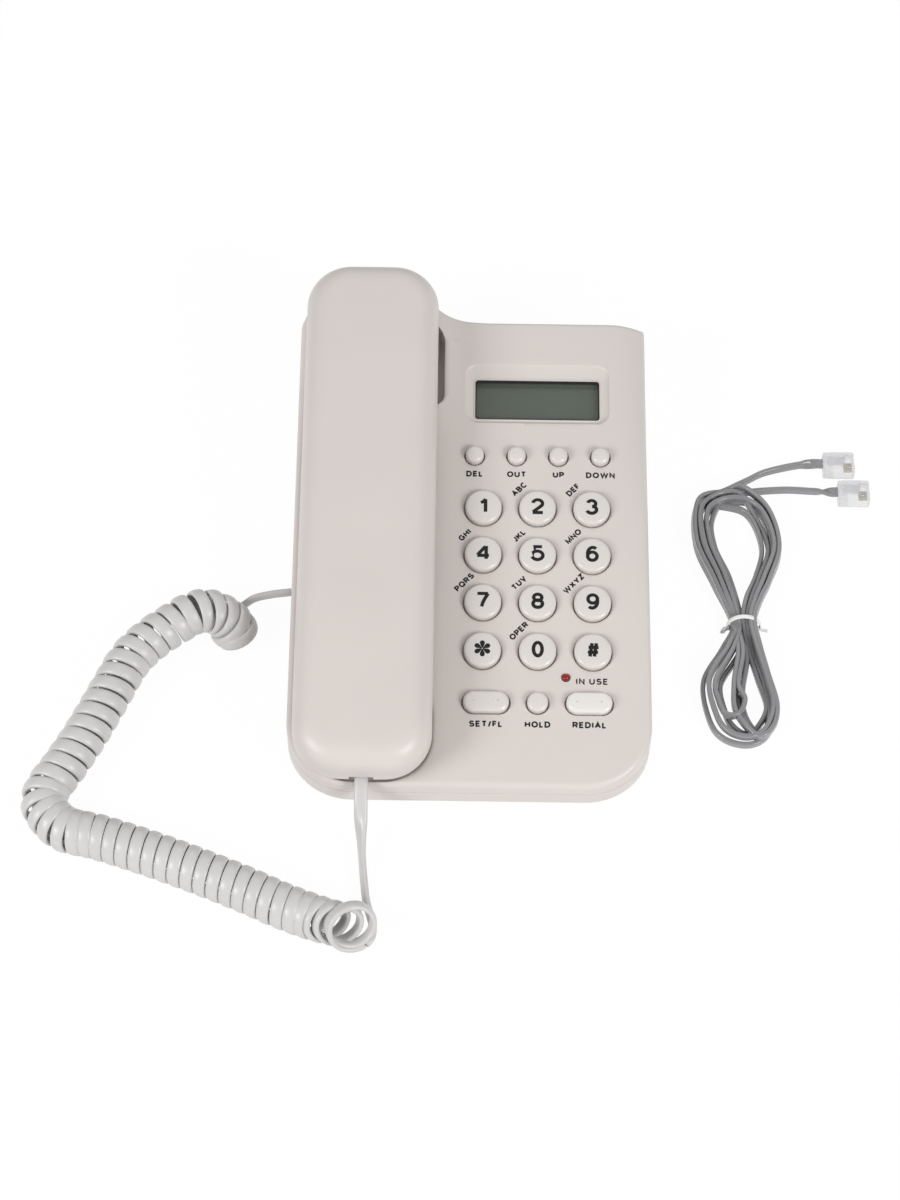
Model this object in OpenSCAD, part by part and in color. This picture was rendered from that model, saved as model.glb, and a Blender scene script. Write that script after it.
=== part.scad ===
// Corded desk telephone: a base with keypad, display and cradle, a handset on a curly cord,
// and a line cord tied in a hank beside it.
// Origin: middle of the footprint, on the table. +X right, +Y to the rear, +Z up.

/* [Base] */
// From the front face to the middle of the number keys
keys_from_front = 79.5; // [79:0.25:82]
// Room between the right-hand screw bosses and the side
side_room = 12.6; // [12:0.1:16]
// Lip of the panel behind the ear well
rear_lip = 2.35; // [2.2:0.05:4]
// Height of the panel's rear edge over the table
rear_h = 40; // [39.5:0.25:44]
// Tilt of the key panel in degrees
panel_tilt = 8; // [7.6:0.1:8.4]
// Wall of the base and of the handset's cups
wall = 2.2; // [1.8:0.1:2.4]
// Plan radius of the base's front corners
front_r = 24; // [21:0.5:27]
// Rounding of the case's front and left top edges
edge_r = 6; // [4:0.5:7]
// How far the crown of the right-hand edge reaches in
crown_w = 20; // [14:1:24]
// How far the crown of the right-hand edge falls
crown_h = 7; // [5:0.5:8]
// Height of the line where the case halves meet
part_z = 8; // [7.5:0.25:8.5]
// Height of the rubber feet under the case
foot_h = 2; // [1.5:0.25:2.5]
// Diameter of a rubber foot
foot_d = 12; // [9:0.5:14]

/* [Cradle] */
// Rise of the cradle's saddle at the rear
saddle_h = 3.7; // [2.5:0.1:3.7]
// Depth of the ear well under the panel
ear_well = 7.3; // [6.5:0.1:8.5]
// Depth of the mouth well under the panel
mouth_well = 5.9; // [5:0.1:6.2]
// Width of the cradle, from the left side to the ear well's right edge
cradle_w = 55.1; // [55:0.1:57]
// Gap between the resting handset and the cradle
rest_gap = 0.3; // [0.2:0.05:0.5]
// How far the hook plunger rises when the handset is lifted
hook_rise = 4; // [3:0.25:4]

/* [Keys] */
// Key pitch across
pitch_x = 20; // [19:0.25:20.5]
// Key pitch along the panel
pitch_v = 19.05; // [18.5:0.05:19.5]
// Hole for a number key
key_hole = 14.2; // [13:0.1:15]
// Height of a number key over the panel
key_top = 2.6; // [2:0.1:3.2]
// Hole for a round function button
button_hole = 7.6; // [7:0.1:8.2]
// Height of a function button over the panel
button_top = 3; // [2:0.1:3.4]
// Length of the hole for an oval key
oval_l = 17.8; // [16:0.1:19]
// Width of the hole for the bottom row of keys
oval_w = 9.2; // [8.4:0.1:10]
// Gap around every key
key_gap = 0.3; // [0.2:0.05:0.4]
// How far a key goes down
key_travel = 1.2; // [1:0.1:1.3]

/* [Display] */
// Width of the display's window
window_w = 46.8; // [44:0.2:48]
// Height of the display's window
window_h = 16.6; // [15:0.2:18]
// Width of the sunk frame round the window
frame_w = 54.9; // [52:0.1:58]
// Height of the sunk frame round the window
frame_h = 25.1; // [23:0.1:26]
// How deep the frame is sunk
frame_sink = 1.2; // [0.8:0.1:1.3]

/* [Handset] */
// Width of the handset
handset_w = 49.6; // [46:0.2:50]
// Length of the handset
handset_l = 203; // [198:0.5:206]
// Height of its back shell over the seam
back_h = 13.5; // [12:0.5:16]
// Width of its seam over the panel
seam_w = 7; // [7:0.1:7.6]
// Thickness of its flat front
slab_t = 3; // [2.6:0.1:3]
// Wall of the back shell
shell_t = 2; // [1.6:0.1:2.4]
// Diameter of the receiver capsule
receiver_d = 33; // [30:0.5:34]
// Diameter of the microphone
microphone_d = 9.7; // [9:0.1:10.5]

/* [Plugs and cords] */
// Width of a handset plug
small_plug_w = 7.65; // [7.4:0.05:7.8]
// Width of a line plug
line_plug_w = 9.65; // [9.4:0.05:9.8]
// Height of a plug
plug_h = 6; // [5.6:0.1:6.2]
// Length of a plug
plug_l = 12; // [11.5:0.25:12.5]
// Gap between a plug and its socket
plug_gap = 0.2; // [0.15:0.05:0.3]
// Outer diameter of the curly cord
curl_d = 16; // [15:0.5:16]
// Width of the flat handset cord
cord_w = 4.5; // [4:0.1:4.5]
// Width of the flat line cord
line_cord_w = 4; // [3.6:0.1:4.2]
// Height of the hank
hank_h = 8; // [7:0.5:9]

/* [Hidden] */
$fn = 48;
HULL_FN = 32; // facets round the children of a hull
HANDSET_FN = 72; // facets round the handset's corners
EPS = 0.01;
FIT = 0.05; // radial clearance of a screw or a round piece in its seat

// --- Colours ---
shell_colour = "#dad4ce";
key_colour = "#e6e0da";
board_colour = "#2f6b4a";
metal_colour = "#b9bcc0";
dark_colour = "#2a2a2c";
cord_colour = "#cdcbcb";
line_colour = "#7d7d7f";
clear_colour = "#dfe6ea";

// --- Base: places ---
front_y = -99.5; // the base's front face
key_y = front_y + keys_from_front;
ear_v = [71.4, 105.2]; // ends of the ear well, from the middle of the number keys
panel_rear_v = ear_v[1] + rear_lip;
rear_y = key_y + panel_rear_v * cos(panel_tilt);
base_l = rear_y - front_y;
key_z = rear_h - (rear_y - key_y) * tan(panel_tilt);
panel_front_v = -keys_from_front / cos(panel_tilt);
rear_r = 4; // plan radius of the rear corners
floor_z = foot_h + wall; // inside face of the base's floor
key_boss_r = 2.4; // bosses that carry the key board, in two columns beside the keys
key_boss_dx = pitch_x + key_hole / 2 + 1.4;
cradle_clear = 1.7; // gap between the left bosses and the ear well's wall
base_w = cradle_w + wall + cradle_clear + key_boss_r + 2 * key_boss_dx + side_room;
half_w = base_w / 2;

// --- Keys: places on the panel, from the middle of the number keys ---
keys_x = half_w - side_room - key_boss_dx;
button_pitch = 15.6;
button_v = 50.1;
bottom_v = -48.6;
oval_dx = 18.55; // from the middle column to the middle of an oval key
window_v = 74.7;
frame_v = window_v + 2.2;
lamp_dx = 10.2;
lamp_v = -38.5;
lamp_d = 3;
DIGIT_KEYS = ["key_1", "key_2", "key_3", "key_4", "key_5", "key_6",
    "key_7", "key_8", "key_9", "key_star", "key_0", "key_hash"];
BUTTONS = ["button_delete", "button_out", "button_up", "button_down"];
function digit_at(i) = [keys_x + (i % 3 - 1) * pitch_x, (1.5 - floor(i / 3)) * pitch_v];
function button_at(i) = [keys_x + (i - 1.5) * button_pitch, button_v];

// --- Layers under the panel, down from its face ---
key_clear = 0.2; // gap between a key's flange and the panel
flange_t = 0.8;
flange_lip = 0.7; // how far a flange reaches past its hole
flange_w = -wall - key_clear;
foot_w = flange_w - flange_t - 0.4; // lowest face of a key's foot
dome_top_w = foot_w - key_travel - 0.1;
dome_h = 1.6;
sheet_t = 1;
sheet_size = [2 * key_boss_dx + 2, 108];
board_t = 1.6;
board_w = dome_top_w - dome_h - sheet_t; // top face of the key board
key_boss_v = [bottom_v - 8.4, 0, button_v + 6.9, frame_v + 13.1];
key_board_x = [keys_x - key_boss_dx - key_boss_r - 0.1, keys_x + key_boss_dx + key_boss_r + 1.6];
key_board_v = [key_boss_v[0] - 3, key_boss_v[3] + 3];
screw_r = 1.1;

// --- Display: places ---
glass_t = 1.2;
window_lap = 1.9; // how far the window's plate lies under the case on each side
lcd_t = 2.4;
lcd_top_w = -wall - glass_t - 0.1;
holder_t = 2;
lcd_size = [window_w + 4.4, window_h + 4];
holder_inner = [lcd_size[0] + 0.3, lcd_size[1] + 0.3];
holder_size = [holder_inner[0] + 2 * holder_t, holder_inner[1] + 2 * holder_t];

// --- Cradle: places ---
handset_x = -half_w + 27.5;
handset_v = 21.3; // the handset's middle, along the panel
ear_x = [-half_w + 4, -half_w + cradle_w];
mouth_v = [-76.5, -37];
mouth_x = [-half_w + 6, -half_w + cradle_w - 1.2];
mouth_r = 17;
bulge = 2.2; // how far the saddle stands out behind the base
plunger_size = [8, 6];
plunger_clear = 4.2; // gap between the plunger's flange and the ear well's wall
plunger_v = ear_v[0] - wall - plunger_clear - plunger_size[1] / 2 - 2;
plunger_gap = 0.3; // gap around the plunger
plunger_top_w = seam_w - slab_t - rest_gap;
guide_w = -3.6; // underside of its guide
hook_flange_w = guide_w - key_clear - hook_rise; // top of its flange at rest
hook_flange_t = 1.5;
hook_rod_r = 2;
hook_rod_end_w = -17;
hook_top_w = -17.4; // top of the switch
spring_r = 3.2;
spring_wire_r = 0.35;

// --- Main board and jacks ---
main_board_x = [-half_w + 7.5, -half_w + 57.5];
main_board_y = [-27, rear_y - 6.5];
post_h = 2;
main_board_z = floor_z + post_h;
main_top_z = main_board_z + board_t;
main_screws = [[main_board_x[0] + 4, 2], [main_board_x[1] - 4, main_board_y[0] + 4],
    [main_board_x[0] + 4, main_board_y[1] - 4], [main_board_x[1] - 4, main_board_y[1] - 4]];
jack_wall = 1.5;
jack_l = 14;
cord_jack_y = -19;
jack_mid_z = main_top_z + jack_wall + plug_gap + plug_h / 2;
line_jack_x = -half_w + 43.5;
case_screw_at = [[-half_w + 9, 32], [half_w - 8, rear_y - 7.5], [half_w - 9, front_y + 16],
    [mouth_x[1] + 6.6, front_y + 11.5]];
case_screw_r = 1.5;
head_r = 2.8;
post_r = 4.2;
ribbon_x = main_board_x[1] - 7;
ribbon_y = 14;
ribbon_t = 0.8;
ribbon_w = 12;
socket_h = 4.5; // height of the ribbon's socket on the main board
keyhole_pitch = 80;
keyhole_r = 3.75;
keyhole_slot = 4; // width of a keyhole's narrow end
keyhole_y0 = -9; // middle of the two entry holes
ringer_at = [half_w - 31.5, -48];
ringer_r = 12;
ringer_h = 4;
ballast_size = [34, 28, 3];
ballast_at = [handset_x, -66];

// --- Handset: places, in its own frame with z = 0 at the seam ---
handset_front_r = 18;
handset_rear_r = 20;
back_edge = 11; // reach of the back's rounded edge
ear_cup = [ear_x[1] - ear_x[0] - 5.9, ear_v[1] - ear_v[0] - 3.4];
ear_cup_y = (ear_v[0] + ear_v[1]) / 2 + 0.9 - handset_v;
ear_cup_r = 14;
ear_cup_z = -(seam_w + ear_well - rest_gap);
mouth_cup = [mouth_x[1] - mouth_x[0] - 8.9, mouth_v[1] - mouth_v[0] - 5.5];
mouth_cup_y = (mouth_v[0] + mouth_v[1]) / 2 - 0.85 - handset_v;
mouth_cup_r = 15;
mouth_cup_z = -(seam_w + mouth_well - rest_gap);
cup_wall = 1.8;
handset_jack_z = -4; // middle of its socket
cord_notch_w = 8.7;
handset_boss_r = 3;
handset_boss_y = [-35, 47];
handset_head = [2, 1]; // radius and height of its screws' heads
seal_t = 1;
receiver_h = 8;
microphone_h = 6;
microphone_y = mouth_cup_y + 6;
boot_r = microphone_d / 2 + 1.6;
weight_size = [18, 55, 7];

// --- Cord routes, in millimetres over the table ---
CURL_ROUTE = [[-80, -35], [-84, -29], [-90, -25.5], [-98, -25], [-107, -29], [-117, -37],
    [-124, -46], [-129, -56], [-134, -68], [-139.5, -80], [-145, -91], [-150, -100],
    [-151, -107], [-143, -115.5],
    [-131, -118.5], [-117, -123], [-103, -128], [-89, -133.5], [-77, -138.5], [-65, -144],
    [-52, -149], [-43, -151], [-34, -151.5]];
BASE_TAIL_ROUTE = [[-71.5, -18.5, 11.3], [-76, -18.5, 9], [-81, -20, 8.5], [-86, -23, 8.5]];
HANDSET_TAIL_ROUTE = [[-38, -106, 13.5], [-38, -112, 9], [-38, -119, 5], [-37.5, -127, 3],
    [-36.5, -135, 3.5], [-36, -142, 5.5]];
LINE_TAIL_A = [[100, 34.5, 2.2], [106, 40, 2.2], [113, 43.5, 2.2], [124, 47, 2.4]];
LINE_TAIL_B = [[106, 33.5, 2.2], [113, 35.8, 2.2], [121.5, 36, 2.2], [130, 35.2, 2.4]];
line_plug_a_at = [135.5, 48];
line_plug_b_at = [140.5, 35];
hank_top = [101, 19];
hank_top_r = 17;
hank_waist = [102, -25];
hank_waist_r = 5;
hank_foot = [98.6, -62];
hank_foot_r = 13;
tie_t = 0.8;
tie_w = 2.5;

// --- Points and places ---
function panel_point(x, v, w) = [x, key_y + v * cos(panel_tilt) - w * sin(panel_tilt),
    key_z + v * sin(panel_tilt) + w * cos(panel_tilt)];
function panel_v(y, z) = (y - key_y) * cos(panel_tilt) + (z - key_z) * sin(panel_tilt);
function panel_w(y, z) = (z - key_z) * cos(panel_tilt) - (y - key_y) * sin(panel_tilt);
function panel_z(y) = key_z + (y - key_y) * tan(panel_tilt);

// Puts its children on the panel: x across, y along the slope, z out of the panel.
module on_panel(x = 0, v = 0, w = 0) {
    translate([0, key_y, key_z]) rotate([panel_tilt, 0, 0]) translate([x, v, w]) children();
}

// Puts its children in the handset's frame.
module on_handset(x = 0, y = 0, z = 0) {
    on_panel(handset_x + x, handset_v + y, seam_w + z) children();
}

// --- General shapes ---
// A box from corner a to corner b.
module box(a, b) {
    translate(a) cube(b - a);
}

// A flat plate with upright round corners, centred in x and y, standing on z = 0.
module slab(x, y, z, r_front, r_rear) {
    translate([-x / 2, -y / 2 + r_front, 0]) cube([x, y - r_front - r_rear, z]);
    translate([-x / 2 + r_front, -y / 2, 0]) cube([x - 2 * r_front, r_front + EPS, z]);
    translate([-x / 2 + r_rear, y / 2 - r_rear - EPS, 0]) cube([x - 2 * r_rear, r_rear + EPS, z]);
    for (s = [-1, 1]) {
        translate([s * (x / 2 - r_front), -y / 2 + r_front, 0]) cylinder(r = r_front, h = z);
        translate([s * (x / 2 - r_rear), y / 2 - r_rear, 0]) cylinder(r = r_rear, h = z);
    }
}

// A plate between two corners, with one corner radius.
module plate(x_ends, y_ends, z, r) {
    translate([(x_ends[0] + x_ends[1]) / 2, (y_ends[0] + y_ends[1]) / 2, 0])
        slab(x_ends[1] - x_ends[0], y_ends[1] - y_ends[0], z, r, r);
}

// A long hole or key: a plate with half-round ends.
module stadium(l, w, h) {
    translate([-(l - w) / 2, -w / 2, 0]) cube([l - w, w, h]);
    for (s = [-1, 1]) translate([s * (l - w) / 2, 0, 0]) cylinder(r = w / 2, h = h);
}

// A disc with its top at z = 0 and its top edge rounded, e out and f down.
module puck(r, e, f, h, facets = HULL_FN * 2) {
    rotate_extrude($fn = facets) polygon(concat([[0, -h], [r, -h]],
        [for (a = [0 : 15 : 90]) [r - e + e * cos(a), -f + f * sin(a)]], [[0, 0]]));
}

// A tube swept along points, with its end faces square to its ends.
module tube(route, r, sides) {
    n = len(route);
    axes = [for (i = [0 : n - 1])
        let(d = route[min(i + 1, n - 1)] - route[max(i - 1, 0)]) d / norm(d)];
    rings = [for (i = [0 : n - 1])
        let(side = cross(axes[i], [0, 0, 1]), a = side / norm(side), b = cross(a, axes[i]))
        for (k = [0 : sides - 1]) route[i] + r * (cos(360 * k / sides) * a + sin(360 * k / sides) * b)];
    walls = [for (i = [0 : n - 2]) for (k = [0 : sides - 1])
        [i * sides + k, i * sides + (k + 1) % sides, (i + 1) * sides + (k + 1) % sides,
            (i + 1) * sides + k]];
    ends = [[for (k = [sides - 1 : -1 : 0]) k], [for (k = [0 : sides - 1]) (n - 1) * sides + k]];
    polyhedron(rings, concat(walls, ends), convexity = 6);
}

// --- Base ---
// The upper case's outer form, in by inset, down to z = low.
module case_form(inset, low) {
    r = front_r - inset;
    e = max(edge_r - inset, 1);
    intersection() {
        hull() {
            for (s = [-1, 1])
                on_panel(s * (half_w - front_r), panel_front_v + front_r + 0.4, -inset)
                    puck(r, e, e, e + 0.5);
            on_panel(half_w - inset - crown_w, panel_rear_v + 6, -inset - crown_h)
                rotate([90, 0, 0]) scale([crown_w / crown_h, 1, 1])
                    cylinder(r = crown_h, h = 40, $fn = HULL_FN * 2);
            on_panel(-half_w + inset + e, panel_rear_v + 6, -inset - e)
                rotate([90, 0, 0]) cylinder(r = e, h = 40, $fn = HULL_FN);
            translate([0, front_y + base_l / 2, low])
                slab(base_w - 2 * inset, base_l - 2 * inset, 0.5, r, max(rear_r - inset, 1), $fn = HULL_FN);
        }
        box([-base_w, front_y - 5, low], [base_w, rear_y - inset, rear_h + 20]);
    }
}

// The raised saddle that carries the handset's ear end: sections along the panel, and for each
// point of a section its place from the left side, its start under the panel and its share of the rise.
saddle_v = [44, 52, 60, 68, 76, 84, 92, 100, panel_rear_v - 2, panel_rear_v + 0.4];
saddle_rise = [0, 0.08, 0.2, 0.36, 0.54, 0.7, 0.84, 0.94, 1, 1];
saddle_shape = [[1.5, -2.1, 0.19], [2.2, -1.45, 0.49], [4, -0.4, 0.6], [6, -0.06, 0.87],
    [9, -0.04, 1.01], [48, -0.04, 1.01], [51.5, -0.04, 0.97], [53.2, -0.04, 0.85],
    [55, -0.04, 0.57], [57.3, -0.05, 0.27], [60, -0.06, 0.09], [63, -0.3, 0]];
module saddle() {
    m = len(saddle_shape);
    n = len(saddle_v);
    k = m + 2;
    points = [for (i = [0 : n - 1]) concat(
        [for (p = saddle_shape) panel_point(p[0] - half_w, saddle_v[i] + (i == n - 1 ? bulge * p[2] : 0),
            p[1] + p[2] * saddle_rise[i] * saddle_h)],
        [panel_point(saddle_shape[m - 1][0] - half_w, saddle_v[i], 0.7 - wall),
            panel_point(saddle_shape[0][0] - half_w, saddle_v[i], 0.05 - wall)])];
    flat = [for (section = points) for (p = section) p];
    sides = [for (i = [0 : n - 2]) for (j = [0 : k - 1]) for (t = [[1, 0, k], [k + 1, 1, k]])
        [for (q = t) i * k + (q % k + j) % k + (q >= k ? k : 0)]];
    ends = [[for (j = [0 : k - 1]) j], [for (j = [k - 1 : -1 : 0]) (n - 1) * k + j]];
    polyhedron(flat, concat(sides, ends), convexity = 6);
}

// The space of a well, deepened by grow below and widened by grow at the sides.
module ear_space(grow, top) {
    on_panel(0, 0, -ear_well - grow)
        plate([ear_x[0] - grow, ear_x[1] + grow], [ear_v[0] - grow, ear_v[1] + grow],
            ear_well + grow + top, 8);
}

module mouth_space(grow, top) {
    on_panel(0, 0, -mouth_well - grow)
        plate([mouth_x[0] - grow, mouth_x[1] + grow], [mouth_v[0] - grow, mouth_v[1] + grow],
            mouth_well + grow + top, mouth_r);
}

// Everything that the keys, lamp and display need open through the panel.
module panel_holes() {
    for (i = [0 : 11]) on_panel(digit_at(i)[0], digit_at(i)[1], -10)
        cylinder(r = key_hole / 2, h = 20);
    for (i = [0 : 3]) on_panel(button_at(i)[0], button_at(i)[1], -10)
        cylinder(r = button_hole / 2, h = 20);
    for (s = [-1, 1]) on_panel(keys_x + s * oval_dx, bottom_v, -10) stadium(oval_l, oval_w, 20);
    on_panel(keys_x, bottom_v, -10) cylinder(r = oval_w / 2, h = 20);
    on_panel(keys_x + lamp_dx, lamp_v, -10) cylinder(r = lamp_d / 2 + 0.1, h = 20);
    on_panel(keys_x, frame_v, -frame_sink) slab(frame_w, frame_h, 5, 2.8, 2.8);
    on_panel(keys_x, window_v, -10) slab(window_w, window_h, 20, 1.2, 1.2);
}

module upper_case() {
    color(shell_colour) difference() {
        union() {
            difference() {
                case_form(0, part_z);
                case_form(wall, part_z - 1);
            }
            saddle();
            intersection() {
                union() {
                    ear_space(wall, -1);
                    mouth_space(wall, -1);
                    for (p = case_screw_at) translate([p[0], p[1], part_z])
                        cylinder(r = post_r, h = panel_z(p[1]) - part_z);
                }
                union() {
                    case_form(1, part_z);
                    translate([0, front_y + base_l / 2, floor_z + 0.3])
                        slab(base_w - 2 * wall - 0.6, base_l - 2 * wall - 0.6, part_z, front_r - wall - 0.3,
                            rear_r - wall - 0.3);
                }
            }
            for (x = [keys_x - key_boss_dx, keys_x + key_boss_dx], v = key_boss_v)
                on_panel(x, v, board_w) cylinder(r = key_boss_r, h = -board_w - 1);
            on_panel(handset_x - plunger_size[0] / 2 - 2, plunger_v - plunger_size[1] / 2 - 2, guide_w)
                cube([plunger_size[0] + 4, plunger_size[1] + 4, -guide_w - 0.6]);
        }
        ear_space(0, 20);
        mouth_space(0, 20);
        panel_holes();
        on_panel(keys_x, window_v, -wall - 8)
            slab(holder_size[0] + 0.4, holder_size[1] + 0.4, 8, 1, 1);
        on_panel(handset_x - plunger_size[0] / 2 - plunger_gap,
                plunger_v - plunger_size[1] / 2 - plunger_gap, -10)
            cube([plunger_size[0] + 2 * plunger_gap, plunger_size[1] + 2 * plunger_gap, 20]);
        for (x = [keys_x - key_boss_dx, keys_x + key_boss_dx], v = key_boss_v)
            on_panel(x, v, board_w - EPS) cylinder(r = screw_r + FIT, h = 5);
        for (p = case_screw_at) translate([p[0], p[1], part_z - EPS])
            cylinder(r = case_screw_r + FIT, h = 7);
        jack_openings();
    }
}

// The openings that both case halves leave for the two jacks.
module jack_openings() {
    w = small_plug_w + 2 * (jack_wall + plug_gap) + 2 * FIT;
    l = line_plug_w + 2 * (jack_wall + plug_gap) + 2 * FIT;
    h = plug_h + 2 * (jack_wall + plug_gap) + 2 * FIT;
    translate([-half_w - 5, cord_jack_y - w / 2, jack_mid_z - h / 2]) cube([wall + 10, w, h]);
    translate([line_jack_x - l / 2, rear_y - wall - 5, jack_mid_z - h / 2]) cube([l, wall + 10, h]);
}

module lower_case() {
    color(shell_colour) difference() {
        union() {
            difference() {
                translate([0, front_y + base_l / 2, foot_h])
                    slab(base_w, base_l, part_z - foot_h, front_r, rear_r);
                translate([0, front_y + base_l / 2, floor_z])
                    slab(base_w - 2 * wall, base_l - 2 * wall, part_z, front_r - wall, rear_r - wall);
            }
            for (p = case_screw_at) translate([p[0], p[1], foot_h])
                cylinder(r = post_r, h = part_z - foot_h);
            for (p = main_screws) translate([p[0], p[1], foot_h])
                cylinder(r = 2.6, h = main_board_z - foot_h);
        }
        for (p = case_screw_at) translate([p[0], p[1], 0]) {
            cylinder(r = case_screw_r + 0.2, h = 20);
            cylinder(r = head_r + 0.3, h = foot_h + 2.5);
        }
        for (p = main_screws) translate([p[0], p[1], floor_z - 1.2]) cylinder(r = screw_r + FIT, h = 20);
        for (p = foot_places()) translate([p[0], p[1], 0]) cylinder(r = foot_d / 2 + FIT, h = foot_h + 0.8);
        for (s = [-1, 1]) translate([0, keyhole_y0 + s * keyhole_pitch / 2, 0]) {
            cylinder(r = keyhole_r, h = 20);
            translate([-keyhole_slot / 2, 0, 0]) cube([keyhole_slot, keyhole_r + 5, 20]);
            translate([0, keyhole_r + 5, 0]) cylinder(r = keyhole_slot / 2, h = 20);
        }
        for (i = [-3 : 3]) translate([ringer_at[0] + i * 2.8 - 0.6, ringer_at[1] - 7, 0])
            cube([1.2, 14, 20]);
        jack_openings();
    }
}

function foot_places() = [for (s = [-1, 1]) for (y = [front_y + 22, rear_y - 22]) [s * (half_w - 20), y]];

module rubber_feet() {
    color(dark_colour) for (p = foot_places()) translate([p[0], p[1], 0])
        cylinder(r = foot_d / 2, h = foot_h + 0.8);
}

// A self-tapping screw with its head at the bottom.
module screw(r, head, head_h, l) {
    cylinder(r = head, h = head_h);
    cylinder(r = r, h = head_h + l);
}

module case_screws() {
    color(metal_colour) for (p = case_screw_at) translate([p[0], p[1], foot_h + 2.5 - 1.8])
        screw(case_screw_r, head_r, 1.8, part_z - foot_h + 4);
}

module board_screws() {
    color(metal_colour) {
        for (x = [keys_x - key_boss_dx, keys_x + key_boss_dx], v = key_boss_v)
            on_panel(x, v, board_w - board_t - 1.2) screw(screw_r, 2, 1.2, board_t + 4);
        for (p = main_screws) translate([p[0], p[1], main_top_z + 1.2]) rotate([180, 0, 0])
            screw(screw_r, 2, 1.2, board_t + 2.6);
    }
}

// --- Display ---
module display_window() {
    color(clear_colour) {
        on_panel(keys_x, window_v, -wall - glass_t)
            slab(window_w + 2 * window_lap, window_h + 2 * window_lap, glass_t, 1, 1);
        on_panel(keys_x, window_v, -wall)
            slab(window_w - 0.2, window_h - 0.2, wall - frame_sink - 0.4, 1.1, 1.1);
    }
}

module lcd_panel() {
    color("#58615a") on_panel(keys_x - lcd_size[0] / 2, window_v - lcd_size[1] / 2, lcd_top_w - lcd_t)
        cube([lcd_size[0], lcd_size[1], lcd_t]);
}

module lcd_holder() {
    color("#f2f2f0") difference() {
        on_panel(keys_x - holder_size[0] / 2, window_v - holder_size[1] / 2, board_w)
            cube([holder_size[0], holder_size[1], -wall - board_w]);
        on_panel(keys_x - holder_inner[0] / 2, window_v - holder_inner[1] / 2, board_w - 1)
            cube([holder_inner[0], holder_inner[1], 20]);
    }
}

module lcd_connector() {
    color("#e58fa0") on_panel(keys_x - lcd_size[0] / 2 + 3.6, window_v + lcd_size[1] / 2 - 3.5, board_w)
        cube([lcd_size[0] - 7.2, 2.5, lcd_top_w - lcd_t - board_w]);
}

module key_board() {
    color(board_colour) difference() {
        on_panel(key_board_x[0], key_board_v[0], board_w - board_t)
            cube([key_board_x[1] - key_board_x[0], key_board_v[1] - key_board_v[0], board_t]);
        for (x = [keys_x - key_boss_dx, keys_x + key_boss_dx], v = key_boss_v)
            on_panel(x, v, board_w - board_t - 1) cylinder(r = screw_r + FIT, h = 5);
    }
}

module key_membrane() {
    color("#d9d9d4") difference() {
        union() {
            on_panel(keys_x - sheet_size[0] / 2, -sheet_size[1] / 2, board_w)
                cube([sheet_size[0], sheet_size[1], sheet_t]);
            for (p = concat([for (i = [0 : 11]) digit_at(i)], [for (i = [0 : 3]) button_at(i)],
                    [for (s = [-1, 0, 1]) [keys_x + s * oval_dx, bottom_v]]))
                on_panel(p[0], p[1], board_w) cylinder(r = 3.2, h = sheet_t + dome_h);
        }
        on_panel(keys_x + lamp_dx, lamp_v, board_w - 1) cylinder(r = lamp_d / 2 + 0.8, h = 5);
        for (x = [keys_x - key_boss_dx, keys_x + key_boss_dx])
            on_panel(x, 0, board_w - 1) cylinder(r = key_boss_r + 0.3, h = 5);
    }
}

// --- Keys ---
// A round key: cap, flange under the panel and foot, with its top at z = top.
module round_key(hole, top, e) {
    r = hole / 2 - key_gap;
    intersection() {
        union() {
            translate([0, 0, flange_w - EPS]) cylinder(r = r, h = top - e - flange_w + EPS);
            rotate_extrude() union() {
                translate([0, top - e - 0.1]) square([r - e, e + 0.1]);
                intersection() {
                    translate([r - e, top - e]) circle(r = e);
                    translate([0, top - e - 0.1]) square([r + 1, e + 1]);
                }
            }
            translate([0, 0, flange_w - flange_t]) cylinder(r = hole / 2 + flange_lip, h = flange_t);
            translate([0, 0, foot_w]) cylinder(r = 2.2, h = flange_w - foot_w);
        }
        translate([0, 0, top - 3.4 * hole]) sphere(r = 3.4 * hole, $fn = 96);
    }
}

// An oval key of the bottom row.
module oval_key(l, top, e) {
    w = oval_w - 2 * key_gap;
    hull() for (s = [-1, 1]) translate([s * (l - oval_w) / 2, 0, top]) puck(w / 2, e, e, top - flange_w);
    translate([0, 0, flange_w - flange_t]) stadium(l + 2 * flange_lip, oval_w + 2 * flange_lip, flange_t);
    translate([0, 0, foot_w]) cylinder(r = 2.2, h = flange_w - flange_t - foot_w + EPS);
}

module digit_key(i) {
    color(key_colour) on_panel(digit_at(i)[0], digit_at(i)[1], 0) round_key(key_hole, key_top, 1);
}

module function_button(i) {
    color(key_colour) on_panel(button_at(i)[0], button_at(i)[1], 0)
        round_key(button_hole, button_top, 1.4);
}

module key_set() {
    color(key_colour) on_panel(keys_x - oval_dx, bottom_v, 0) oval_key(oval_l, key_top, 1);
}

module key_hold() {
    color(key_colour) on_panel(keys_x, bottom_v, 0) round_key(oval_w, key_top, 1);
}

module key_redial() {
    color("#f1eeea") on_panel(keys_x + oval_dx, bottom_v, 0) oval_key(oval_l, key_top, 1);
}

module in_use_lamp() {
    color("#c02020") on_panel(keys_x + lamp_dx, lamp_v, 0) {
        translate([0, 0, board_w]) cylinder(r = lamp_d / 2 + 0.3, h = 1);
        translate([0, 0, board_w]) cylinder(r = lamp_d / 2, h = -board_w - 0.3);
        translate([0, 0, -0.3]) intersection() {
            sphere(r = lamp_d / 2);
            translate([-5, -5, -EPS]) cube(10);
        }
    }
}

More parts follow.
